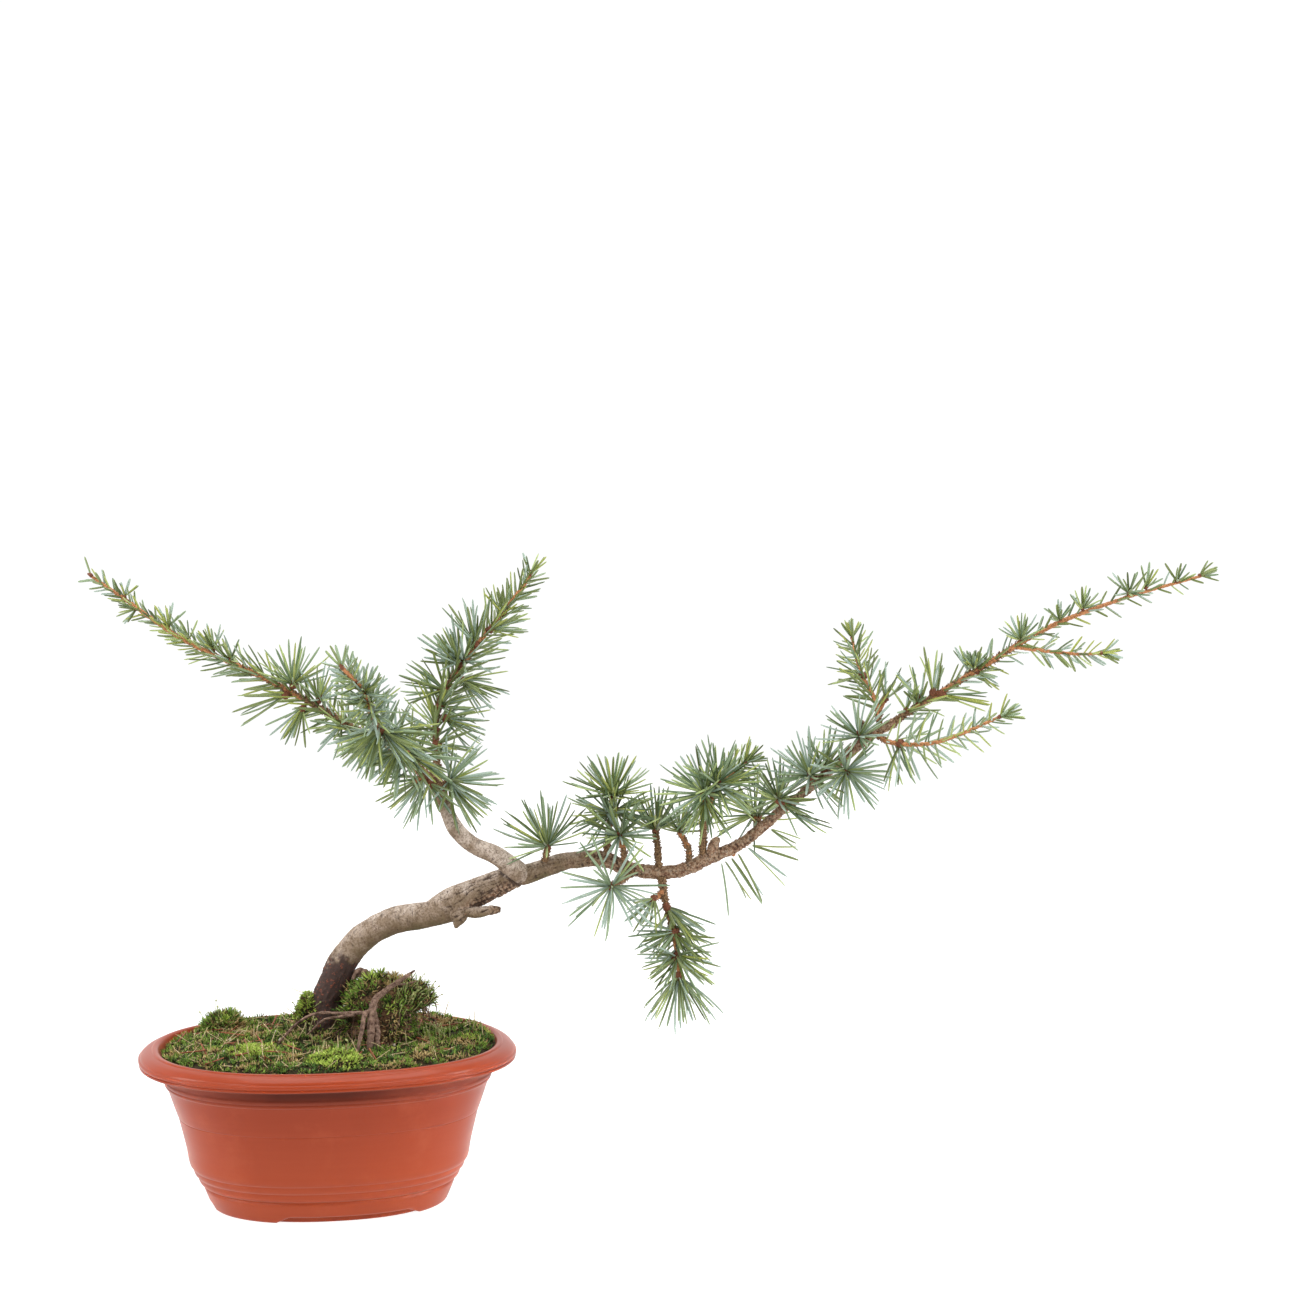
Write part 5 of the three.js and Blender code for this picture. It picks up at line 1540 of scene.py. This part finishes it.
SPRAYS = (
    Spray("left_leader", 11, 0.3, 0.12, (
        ((58, -11, 225, 2.7), (37, 6, 237, 2.4), (0, 18, 258, 2.0), (-32, 22, 275, 1.7), (-77, 26, 296, 1.4),
         (-109, 28, 318, 1.2), (-125, 29, 329, 0.9)),
    ), (
        Fan((-126, 29, 330), (-0.9, 0, 0.5), 12, 13, 50), Fan((-108, 28, 319), (0.3, -0.3, 1), 10, 6, 50),
        Fan((-102, 28, 312), (-0.9, -0.4, -0.3), 11, 8, 60), Fan((-85, 27, 303), (0.1, -0.4, 1), 12, 13, 60),
        Fan((-74, 26, 296), (-0.3, -0.4, 0.8), 12, 11, 75), Fan((-61, 25, 291), (-0.1, -0.5, 1), 13, 15, 65),
        Fan((-52, 25, 285), (-0.2, -0.4, 0.6), 15, 13, 75), Fan((-18, 19, 273), (0.05, -0.35, 1), 24, 36, 75),
        Fan((-4, 17, 265), (0.3, -0.5, 0.8), 20, 18, 70), Fan((-13, 17, 260), (-0.5, -0.4, -1), 21, 13, 45),
        Fan((-22, 19, 267), (-1, -0.4, -0.35), 28, 9, 30), Fan((8, 13, 252), (-0.2, -0.9, -0.3), 19, 24, 80),
        Fan((22, 9, 245), (-0.1, -0.7, -0.7), 20, 20, 75),
    ), (
        Row(0, 0.12, 0.42, 96, 20, 18, 58), Row(0, 0.42, 0.66, 60, 22, 16, 40),
        Row(0, 0.66, 0.99, 80, 12, 9, 44),
    )),
    Spray("left_front_shoot", 12, 0.12, 0.12, (
        ((61, -14, 223, 2.8), (55, -22, 231, 2.4), (40, -38, 248, 2.0), (32, -54, 263, 1.9),
         (27, -68, 280, 1.6), (18, -80, 293, 1.1)),
        ((55, -22, 231, 2.0), (50, -27, 228, 1.8)),
    ), (
        Fan((18, -80, 293), (-0.4, -0.5, 0.8), 12, 15, 60),
        Fan((24, -73, 285), (-0.7, -0.5, 0.3), 13, 11, 75), Fan((28, -66, 278), (0.5, -0.6, 0.5), 15, 13, 75),
        Fan((30, -62, 273), (-0.5, -0.7, 0.2), 18, 17, 80),
        Fan((31, -58, 268), (0.6, -0.7, -0.1), 19, 17, 80),
        Fan((35, -49, 257), (0.85, -0.45, -0.35), 30, 40, 34),
        Fan((34, -51, 258), (-0.55, -0.5, -0.75), 28, 38, 42),
        Fan((43, -38, 246), (-0.3, -0.7, -0.8), 25, 30, 60),
        Fan((46, -33, 243), (0.85, -0.5, -0.25), 27, 30, 40),
        Fan((54, -23, 229), (-0.75, -0.5, -0.6), 28, 24, 55),
        Fan((57, -23, 226), (0.2, -0.6, -0.9), 22, 14, 60),
    ), (
        Row(0, 0.2, 0.6, 90, 25, 20, 62), Row(0, 0.6, 0.97, 84, 17, 12, 58),
    )),
    Spray("left_upright_shoot", 13, 0.12, 0.12, (
        ((60, -8, 224, 2.5), (59, 2, 237, 2.2), (58, 12, 255, 2.1), (62, 18, 269, 2.0), (80, 28, 294, 1.5),
         (105, 38, 326, 1.1), (108, 40, 331, 0.9)),
    ), (
        Fan((59, 4, 243), (0.9, -0.4, -0.2), 22, 17, 60), Fan((58, 9, 250), (-0.8, -0.5, 0.3), 20, 15, 65),
        Fan((63, 10, 256), (1, -0.3, -0.35), 25, 17, 45), Fan((60, 13, 262), (0.9, -0.4, 0.35), 22, 15, 55),
        Fan((62, 17, 270), (-0.9, -0.3, 0.25), 25, 17, 45),
        Fan((71, 21, 275), (0.9, -0.4, -0.35), 26, 21, 50), Fan((70, 23, 283), (-0.6, -0.3, 0.8), 25, 24, 48),
        Fan((72, 24, 285), (0.1, -0.8, 0.5), 22, 15, 70), Fan((78, 26, 294), (-0.2, -0.3, 1), 25, 15, 40),
        Fan((86, 29, 301), (0.9, -0.3, 0.3), 22, 13, 45), Fan((93, 32, 309), (-0.3, -0.3, 1), 17, 8, 40),
        Fan((107, 39, 330), (0.2, -0.1, 1), 13, 14, 48),
    ), (
        Row(0, 0.15, 0.75, 120, 24, 20, 52), Row(0, 0.75, 0.98, 46, 17, 12, 50),
    )),
    Spray("left_collar_tuft", 14, 0.05, 0.12, (
        ((61, -12, 221, 2.4), (66, -16, 226, 2.2)),
    ), (
        Fan((67, -16.5, 227), (0.75, -0.6, 0.05), 28, 52, 88),
        Fan((66, -15, 225), (0.7, -0.5, -0.75), 30, 14, 34),
    )),
    Spray("spur_tuft_1", 21, 0.2, 0.34, (
        ((115, 3, 177, 2.2), (117, -3, 189, 1.9)),
    ), (
        Fan((117, -3, 190), (-0.35, -0.3, 1), 28, 54, 85),
    )),
    Spray("spur_tuft_2", 22, 0.28, 0.34, (
        ((148, 7, 180, 2.4), (149, 6, 195, 2.0), (151, 4, 214, 1.8)),
    ), (
        Fan((151, 4, 216), (0, -0.2, 1), 25, 60, 88), Fan((149.5, 4, 206), (-0.7, -0.6, 0.2), 23, 36, 80),
        Fan((153, 2, 208), (0.8, -0.5, 0.3), 23, 28, 78),
    )),
    Spray("spur_tuft_3", 23, 0.18, 0.34, (
        ((158, 3, 177, 2.2), (157, -2, 188, 1.8), (155, -6, 195, 1.8)),
    ), (
        Fan((155, -6, 196), (-0.15, -0.75, 0.5), 25, 54, 95),
    )),
    Spray("spur_tuft_4", 24, 0.2, 0.34, (
        ((176, 0, 176, 2.3), (175, 4, 187, 2.0), (174, 8, 196, 1.9)),
    ), (
        Fan((174, 8, 197), (0, -0.2, 1), 24, 44, 80),
    )),
    Spray("spur_tuft_5", 25, 0.2, 0.34, (
        ((192, 0, 178, 2.1), (191, 4, 188, 1.8), (187, 6, 195, 1.8)),
    ), (
        Fan((187, 6, 196), (0.1, -0.2, 1), 18, 28, 85),
    )),
    Spray("spur_tuft_6", 26, 0.28, 0.34, (
        ((199, 0, 182, 2.6), (199, -2, 192, 2.3), (199, -7, 205, 2.1), (199, -14, 220, 1.8)),
        ((199, -7, 205, 1.9), (206, -15, 222, 1.6), (213, -13, 229, 1.3), (221, -11, 235.5, 0.9)),
    ), (
        Fan((199, -15, 220), (-0.45, -0.8, 0.3), 26, 60, 95),
        Fan((206, -17, 225), (0.4, -0.8, 0.35), 26, 60, 92),
        Fan((221, -11, 235.5), (0.9, -0.2, 0.9), 12, 16, 50),
        Fan((200, -12, 215), (0, -0.6, -0.9), 22, 22, 60),
    ), (
        Row(1, 0.3, 0.97, 44, 21, 14, 50),
    )),
    Spray("spur_tuft_7", 27, 0.25, 0.34, (
        ((229, -3, 200, 2.0), (227, 5, 202.5, 1.8), (226, 11, 204, 1.8)),
    ), (
        Fan((226, 11, 204.5), (-0.5, -0.3, 0.3), 25, 44, 92),
        Fan((228, 8, 203), (0.4, -0.5, 0.6), 21, 20, 75),
    )),
    Spray("spur_tuft_8", 28, 0.2, 0.34, (
        ((242, -5, 210, 2.0), (238, -9, 215, 1.8)),
    ), (
        Fan((238, -9.5, 216), (-0.15, -0.35, 0.95), 24, 48, 90),
        Fan((240, -9, 214), (0.9, -0.4, -0.4), 22, 10, 45),
    )),
    Spray("front_spur_tuft", 29, 0.05, 0.12, (
        ((163, 2, 176, 2.2), (156, -10, 173, 1.9), (151, -21, 172, 1.9)),
    ), (
        Fan((151, -22, 172), (-0.15, -0.9, -0.25), 30, 46, 100),
    )),
    Spray("drooping_shoot", 31, 0.06, 0.12, (
        ((177, 0, 174, 2.9), (178, -4, 166, 2.5), (180, -7, 158, 2.1), (184, -12, 142, 1.6),
         (186, -17, 125, 1.1)),
        ((178, -4, 166, 1.7), (174, -12, 164, 1.6)),
    ), (
        Fan((173, -13, 164), (-0.6, -0.4, -0.9), 20, 15, 60),
        Fan((180, -8, 158), (0.75, -0.2, -0.8), 28, 19, 35),
        Fan((184, -12, 146), (-0.9, -0.3, -0.2), 23, 13, 50),
        Fan((184, -12, 145), (0.8, -0.3, -0.6), 24, 13, 45),
        Fan((185, -15, 134), (0.7, -0.5, -0.4), 26, 22, 60),
        Fan((185, -15, 133), (-0.8, -0.5, -0.3), 23, 18, 60),
        Fan((186, -17, 123.5), (0, -0.2, -1), 30, 42, 62),
    ), (
        Row(0, 0.3, 0.95, 38, 22, 20, 60),
    )),
    Spray("under_tuft", 32, 0.2, 0.12, (
        ((216, -1, 190, 1.9), (215, 0, 185, 1.3)),
    ), (
        Fan((208.5, 0, 181), (0.15, -0.1, -1), 27, 1, 4), Fan((210, -1, 182), (0.58, -0.2, -0.85), 24, 2, 7),
        Fan((213.5, 0, 183.5), (0.62, -0.1, -0.85), 29, 2, 6),
        Fan((217, -1, 186), (0.52, -0.2, -0.95), 29, 2, 6), Fan((222, -1, 189), (0.8, -0.2, -0.7), 28, 2, 8),
        Fan((224, -1, 190), (1, -0.2, -0.2), 27, 2, 10), Fan((234, -3, 199), (0.9, -0.3, -0.5), 20, 3, 25),
        Fan((246, -5, 208), (0.9, -0.3, -0.45), 22, 4, 20),
    )),
    Spray("spur_tuft_9", 33, 0.12, 0.12, (
        ((258, -7, 224, 1.9), (255, -11.5, 227.5, 1.7)),
    ), (
        Fan((254, -12.5, 229), (-0.35, -0.4, 0.9), 24, 48, 90),
        Fan((256, -12, 227), (0.8, -0.4, -0.5), 22, 10, 50), Fan((262, -9, 231), (0.1, -0.3, 1), 22, 17, 60),
    )),
    Spray("spur_tuft_10", 34, 0.05, 0.12, (
        ((272, -10, 237, 1.9), (273, -17, 233, 1.7)),
    ), (
        Fan((273, -18.5, 232), (0.25, -0.85, -0.35), 24, 54, 95),
    )),
    Spray("spur_tuft_11", 35, 0.05, 0.12, (
        ((283, -11, 247, 1.9), (280, -16.5, 249, 1.7)),
    ), (
        Fan((279.5, -17.5, 250), (-0.3, -0.6, 0.8), 22, 46, 92),
    )),
    Spray("right_upright_shoot", 36, 0.3, 0.12, (
        ((291, -12, 252, 2.2), (289, -4, 266, 1.5), (283, 5, 278, 1.2), (280, 12, 287, 1.0),
         (278, 21, 297.5, 0.8)),
        ((290, -7, 260, 1.2), (294, -5, 268, 0.9)),
    ), (
        Fan((294, -5, 268), (0.5, -0.2, 1), 18, 8, 50), Fan((278, 21, 297.5), (-0.1, 0.1, 1), 10, 14, 48),
        Fan((283, 5, 279), (-0.9, -0.3, 0.2), 19, 8, 45),
    ), (
        Row(0, 0.2, 0.95, 66, 19, 14, 52),
    )),
    Spray("lower_shoot", 37, 0.15, 0.12, (
        ((289, -11, 251, 1.9), (293, -20, 248, 1.6), (303, -27, 247, 1.3), (316, -36, 249, 1.2),
         (330, -44, 255, 1.1), (348, -55, 265, 0.8)),
    ), (
        Fan((348, -55, 265), (0.8, -0.3, 0.5), 12, 13, 55), Fan((300, -25, 247), (-0.1, -0.3, -1), 24, 7, 35),
    ), (
        Row(0, 0.12, 0.5, 34, 24, 18, 66), Row(0, 0.5, 0.97, 34, 16, 11, 55),
    )),
    Spray("leader_shoot", 38, 0.25, 0.12, (
        ((296, -12, 255, 2.6), (304, -12, 261, 1.9), (339, -14, 283, 1.7), (377, -13, 306, 1.5),
         (416, -11, 321, 1.1), (458, -9, 333, 0.8)),
    ), (
        Fan((304, -13, 263), (0.2, -0.5, 0.8), 16, 8, 80),
        Fan((311, -12, 268.5), (-0.35, -0.3, 1), 20, 7, 45),
        Fan((339, -14, 285), (-0.1, -0.4, 1), 9.5, 34, 62),
        Fan((341, -15, 283), (0.9, -0.4, -0.3), 14, 7, 45),
        Fan((309.5, -13, 267), (-0.1, -0.4, 1), 8, 16, 60), Fan((318, -13, 272), (0, -0.3, 1), 23, 7, 24),
        Fan((322, -14, 271.5), (0.95, -0.3, -0.15), 25, 6, 16),
        Fan((336, -14, 284), (-0.5, -0.3, 0.8), 17, 4, 25), Fan((363, -14, 300), (0, -0.4, 1), 14, 24, 75),
        Fan((383, -13, 310), (-0.2, -0.4, 1), 10, 13, 70), Fan((395, -13, 316), (0.1, -0.4, 1), 11, 15, 70),
        Fan((419, -11, 324), (0, -0.4, 0.6), 13, 15, 85), Fan((428, -11, 327), (0.5, -0.4, 0.9), 12, 6, 50),
        Fan((444, -10, 330), (0.3, -0.4, 0.8), 11, 9, 70), Fan((456, -9, 333), (0.95, 0, 0.3), 10, 14, 50),
    ), (
        Row(0, 0.03, 0.5, 56, 18, 12, 48), Row(0, 0.5, 0.97, 34, 12, 10, 48),
    )),
    Spray("leader_side_shoot", 39, 0.3, 0.12, (
        ((361, -14, 296, 1.3), (374, -22, 295, 1.1), (392, -29, 294, 0.9), (402, -34, 295, 0.8)),
    ), (
        Fan((402, -34, 295), (0.95, -0.3, 0.1), 11, 12, 50),
    ), (
        Row(0, 0.15, 0.94, 34, 13, 10, 50),
    )),
)


@dataclass
class Foliage:
    """All needled shoots and spurs. Each spray's needles grow from its stems by the rule of the solids, only
    more of them, and are left out where they would pass through a limb or beyond the solids' reach."""

    grain: Grain
    sprays: Sequence[Spray]
    limbs: Sequence[Line]
    half_width: float = 0.64
    young: float = 1.72
    scale_rate: float = 5.0
    fullness: float = 0.87
    box_margin: float = 0.6
    limb_gap: float = 0.4
    least_with_bud: int = 6

    def fan(self, fan: Fan, random: Random) -> tuple:
        """Grows a rosette.

        Args:
            fan: The rosette.
            random: The source of chance.

        Returns:
            The needles' feet, ways, lengths, upper sides and bends.
        """
        count = math.ceil(self.fullness * fan.count)
        i = np.arange(1, count + 1)
        axis = unit(np.repeat(np.array([fan.facing], float), count, axis=0))
        angle = np.arccos(1 - (1 - math.cos(math.radians(fan.widest))) * ((i * GOLDEN[0]) % 1))
        way = tilted(axis, angle, FULL_TURN * i * GOLDEN[1] + 0.2 * random.random(count))
        length = fan.length * random.uniform(0.8, 1.06, count) * (1 - 0.12 * (random.random(count) < 0.2))
        bend = random.uniform(-0.03, 0.19, count)
        return np.array(fan.at) + way * 0.9, way, length, axis + random.normal(0, 0.55, axis.shape), bend

    def row(self, row: Row, stem: Line, random: Random) -> tuple:
        """Grows the needles along a shoot.

        Args:
            row: The row.
            stem: The sampled stem.
            random: The source of chance.

        Returns:
            The needles' feet, ways, lengths, upper sides and bends.
        """
        count = row.count
        i = np.arange(count)
        share = (i + random.random(count)) / count
        at = (row.start + (row.end - row.start) * share) * stem.lengths[-1]
        foot, ahead = (
            np.stack([np.interp(at, stem.lengths, column) for column in rows.T], axis=1)
            for rows in (stem.points, stem.ahead)
        )
        ahead = unit(ahead)
        angle = np.radians(row.angle + random.uniform(-11, 11, count))
        way = tilted(ahead, angle, FULL_TURN * i * GOLDEN[1] + 0.5 * random.random(count))
        length = (row.longest + (row.shortest - row.longest) * share) * random.uniform(0.76, 1.06, count)
        bend = random.uniform(0.0, 0.13, count)
        return foot + way * 0.5, way, length, ahead + random.normal(0, 0.55, ahead.shape), bend

    def clear(self, foot: Array, tip: Array) -> Array:
        """Tells which needles stay inside the solids' box and clear of the limbs.

        Args:
            foot: The needles' feet.
            tip: Their tips.

        Returns:
            True for each needle to keep.
        """
        low, high = (np.array(corner) / METRE for corner in CAD_BOX)
        keep = ((tip > low + self.box_margin) & (tip < high - self.box_margin)).all(axis=1)
        for limb in self.limbs:
            for share in (0.35, 0.6, 0.85, 1.0):
                place = foot + (tip - foot) * share
                gap = np.linalg.norm(place[:, None] - limb.points[None, ::2], axis=2) - limb.radii[None, ::2]
                keep &= gap.min(axis=1) > self.limb_gap
        return keep

    def build(self) -> None:
        """Builds stems, buds and needles, a piece for each kind."""
        stalks, scales, buds = Batch(), Batch(), Batch()
        tints = {tint: Batch() for tint in Tint}
        for spray in self.sprays:
            random = np.random.default_rng(spray.seed)
            stems = [trace(stem, 0.5) for stem in spray.stems]
            for stem in stems:
                stalks.add(*self.stem(stem))
                scales.add(*self.scales(stem, random))
            grown = [self.fan(fan, random) for fan in spray.fans]
            grown += [self.row(row, stems[row.stem], random) for row in spray.rows]
            for fan in spray.fans:
                if fan.count >= self.least_with_bud:
                    buds.add(*self.bud(fan))
            foot, way, *rest = (np.concatenate(column) for column in zip(*grown))
            keep = self.clear(foot, foot + way * rest[0][:, None])
            self.deal(spray, tints, random, [column[keep] for column in (foot, way, *rest)])
        pieces = {
            "twigs": (stalks, [Finish.SHOOT_BARK.build(), Finish.SPUR_BARK.build()], "bark"),
            "bark_scales": (scales, [Finish.SPUR_BARK.build()] * 2, "bark"),
            "rosette_buds": (buds, [Finish.BUD_SCALES.build()], "bark"),
        }
        for tint, batch in tints.items():
            # Each tint's second skin, on the faces that look down, is darker, partly as painted shade.
            pieces["needles_" + tint.name.lower()] = (batch, [skin.build() for skin in tint.value], "needles")
        for name, (batch, finishes, slot) in pieces.items():
            piece = batch.piece(name, finishes, smooth=slot == "bark")
            settle(piece, slot, *(spray.name for spray in self.sprays))

    def deal(self, spray: Spray, tints: Mapping[Tint, Batch], random: Random, grown: Sequence[Array]) -> None:
        """Deals a spray's needles out to the tints and adds them.

        Args:
            spray: The spray.
            tints: The batch of each tint.
            random: The source of chance.
            grown: The needles' feet, ways, lengths, upper sides and bends.
        """
        bounds = spray.fresh + np.array([0.0, spray.deep, spray.deep + 0.3])
        kind = np.searchsorted(bounds, random.random(len(grown[0])))
        for i, tint in enumerate((Tint.FRESH, Tint.DEEP_GREEN, Tint.GREY_GREEN, Tint.BLUE)):
            chosen = kind == i
            if chosen.any():
                width = self.half_width * (0.9 + 0.2 * (i > 1))
                tints[tint].add(*needles(*(column[chosen] for column in grown), width))

    def stem(self, line: Line) -> tuple:
        """Skins a stem with its relief: ring scars and scales where it is old and thick, and fine leaf
        cushions where it is young.

        Args:
            line: The stem's line.

        Returns:
            Points, quads and triangles, and the slot of each face: 0 for young bark and 1 for old.
        """
        sides = 16
        turn, along = np.tile(circle(sides), len(line.points)), np.repeat(line.lengths, sides)
        place = wrapped(line, sides, 2.2, 50 * line.points[0, 0])
        knobbly = 0.78 + 0.42 * self.grain.at(place, (1.2, 1.3, 1.3)) + 0.1 * np.sin(along * FULL_TURN / 1.7)
        fine = 0.84 + 0.12 * self.grain.at(place, (1.6, 1.1, 1.1)) + 0.09 * np.sin(3 * turn + along * 2.6)
        old = climb(np.repeat(line.radii, sides) + 0.25 * self.grain.at(place, 3), self.young, 0.2)
        swell = old * knobbly + (1 - old) * fine
        rows = (old.reshape(-1, sides) > 0.5).astype(int)
        slots = np.vstack([rows, rows[-1:]]).ravel()
        ends = np.repeat([slots[0], slots[-1]], sides)
        return *round_limb(line, sides, swell.reshape(-1, sides)), (slots, ends)

    def scales(self, line: Line, random: Random) -> tuple:
        """Makes the old bud scales that stand off the thick part of a stem.

        Args:
            line: The stem's line.
            random: The source of chance.

        Returns:
            Points, quads, triangles and the slot of each face.
        """
        spot = random.integers(0, len(line.points), round(self.scale_rate * line.lengths[-1]))
        spot = spot[line.radii[spot] > self.young - 0.15]
        ahead, across = line.ahead[spot], line.across[spot]
        turn = random.uniform(0, FULL_TURN, len(spot))[:, None]
        out = across * np.cos(turn) + np.cross(ahead, across) * np.sin(turn)
        way = unit(out + ahead * random.uniform(0.2, 1.4, len(spot))[:, None])
        foot = line.points[spot] + out * (line.radii[spot] * 0.62)[:, None]
        length = random.uniform(0.8, 1.9, len(spot))
        return needles(foot, way, length, out, np.zeros(len(spot)), 0.34)

    def bud(self, fan: Fan) -> tuple:
        """Makes the bud in the middle of a rosette.

        Args:
            fan: The rosette.

        Returns:
            Points, quads and triangles.
        """
        at, facing = np.array(fan.at, float), unit(np.array(fan.facing, float))
        radius = min(2.3, 0.1 * fan.length)
        back, front = at - facing * radius, at + facing * radius * 1.3
        line = trace(((*back, radius * 0.7), (*at, radius), (*front, radius * 0.45)), 0.35)
        return round_limb(line, 12, 1 + 0.14 * np.cos(3 * circle(12) + line.lengths[:, None] * 2.4))


@dataclass
class Studio:
    """A plain pale sweep under soft light from both sides and above, and the camera."""

    floor: str = "#a6a6a6"
    camera_at: Point = (171.0, -1554.44, 456.48)
    pitch: float = 84.0
    lens: float = 82.8
    sensor: float = 36.0
    floor_half: float = 1500.0
    front_glow: float = 0.34
    back_glow: float = 1.04

    def build(self) -> None:
        """Builds the floor, the lights, the world and the camera."""
        sweep, _ = new_surface("paper_sweep", {
            "Roughness": 0.9, "Specular IOR Level": 0.1, "Emission Strength": 0.85, "Emission Color": WHITE,
            "Base Color": linear(self.floor),
        })
        corners = np.array([(-1, -1), (1, -1), (1, 1), (-1, 1)]) * self.floor_half
        points = np.column_stack([corners, np.full(4, -0.3)])
        floor = make_piece("studio_floor", points, [np.array([[0, 1, 2, 3]])], [sweep])
        self.air()
        self.light("left_softbox", (-735, -1050, 800), (30, 0, 90), (450, 60), 4.2)
        self.light("left_fill", (-1150, -350, 750), (60, 0, 90), (500, 500), 6.5)
        self.light("right_softbox", (840, -1120, 760), (90, 0, 100), (450, 60), 3.8)
        self.light("right_fill", (1450, -300, 750), (150, 0, 100), (500, 500), 9.5)
        self.light("right_card", (900, -250, 70), (80, -25, 42), (120, 90), 0.038, 14.0)
        self.light("left_card", (-760, -250, 70), (-70, -25, 42), (120, 90), 0.022, 14.0)
        self.light("top_softbox", (170, 100, 1500), (170, 0, 100), (1300, 1300), 17.5)
        lens = bpy.data.cameras.new("camera")
        lens.lens, lens.sensor_width = self.lens, self.sensor
        lens.clip_start, lens.clip_end = 0.01, 50.0
        camera = bpy.data.objects.new("camera", lens)
        camera.location = Vector(self.camera_at) * METRE
        camera.rotation_euler = (math.radians(self.pitch), 0, 0)
        bpy.context.scene.collection.objects.link(camera)
        bpy.context.scene.camera = camera

    def air(self) -> None:
        """Fills the studio with light, weaker from the front than from behind."""
        world = bpy.data.worlds.new("studio_air")
        world.use_nodes = True
        tree = world.node_tree
        way = add_node(tree, "TexCoord", {}, "Generated")
        depth = add_node(tree, "SeparateXYZ", {"Vector": way}, "Y")
        ends = {"From Min": -1.0, "From Max": 0.6, "To Min": self.front_glow, "To Max": self.back_glow}
        glow = add_node(tree, "MapRange", {**ends, "Value": depth})
        background = tree.nodes["Background"].inputs
        tree.links.new(glow, background["Strength"])
        background["Color"].default_value = WHITE
        bpy.context.scene.world = world
        bpy.context.scene.view_settings.view_transform = "Standard"

    def light(
        self, name: str, at: Point, target: Point, size: Sequence[float], power: float, spread: float = 180.0
    ) -> None:
        """Hangs a soft box.

        Args:
            name: Its name.
            at: Its place.
            target: The place it looks at.
            size: Its width and height.
            power: Its power in watts.
            spread: How wide its beam opens, in degrees.
        """
        data = bpy.data.lights.new(name, "AREA")
        data.shape, data.energy = "RECTANGLE", power
        data.size, data.size_y = metres(size)
        data.spread = math.radians(spread)
        lamp = bpy.data.objects.new(name, data)
        lamp.location = Vector(at) * METRE
        lamp.rotation_euler = (Vector(target) - Vector(at)).to_track_quat("-Z", "Y").to_euler()
        bpy.context.scene.collection.objects.link(lamp)


def main() -> None:
    """Builds the plant in its pot, the studio and the camera."""
    logging.basicConfig(level=logging.INFO, format="%(name)s %(message)s")
    grain = Grain(4)
    pot = Pot()
    pot.build()
    ground = Ground(pot, grain)
    ground.build()
    mound = RootMound(grain)
    mound.build()
    leaves = MossLeaves(ground, mound, grain)
    leaves.build()
    Litter(leaves, grain).build()
    timber = Timber(grain)
    timber.build()
    Foliage(grain, SPRAYS, timber.limbs(2.0)).build()
    Studio().build()


if __name__ == "__main__":
    main()
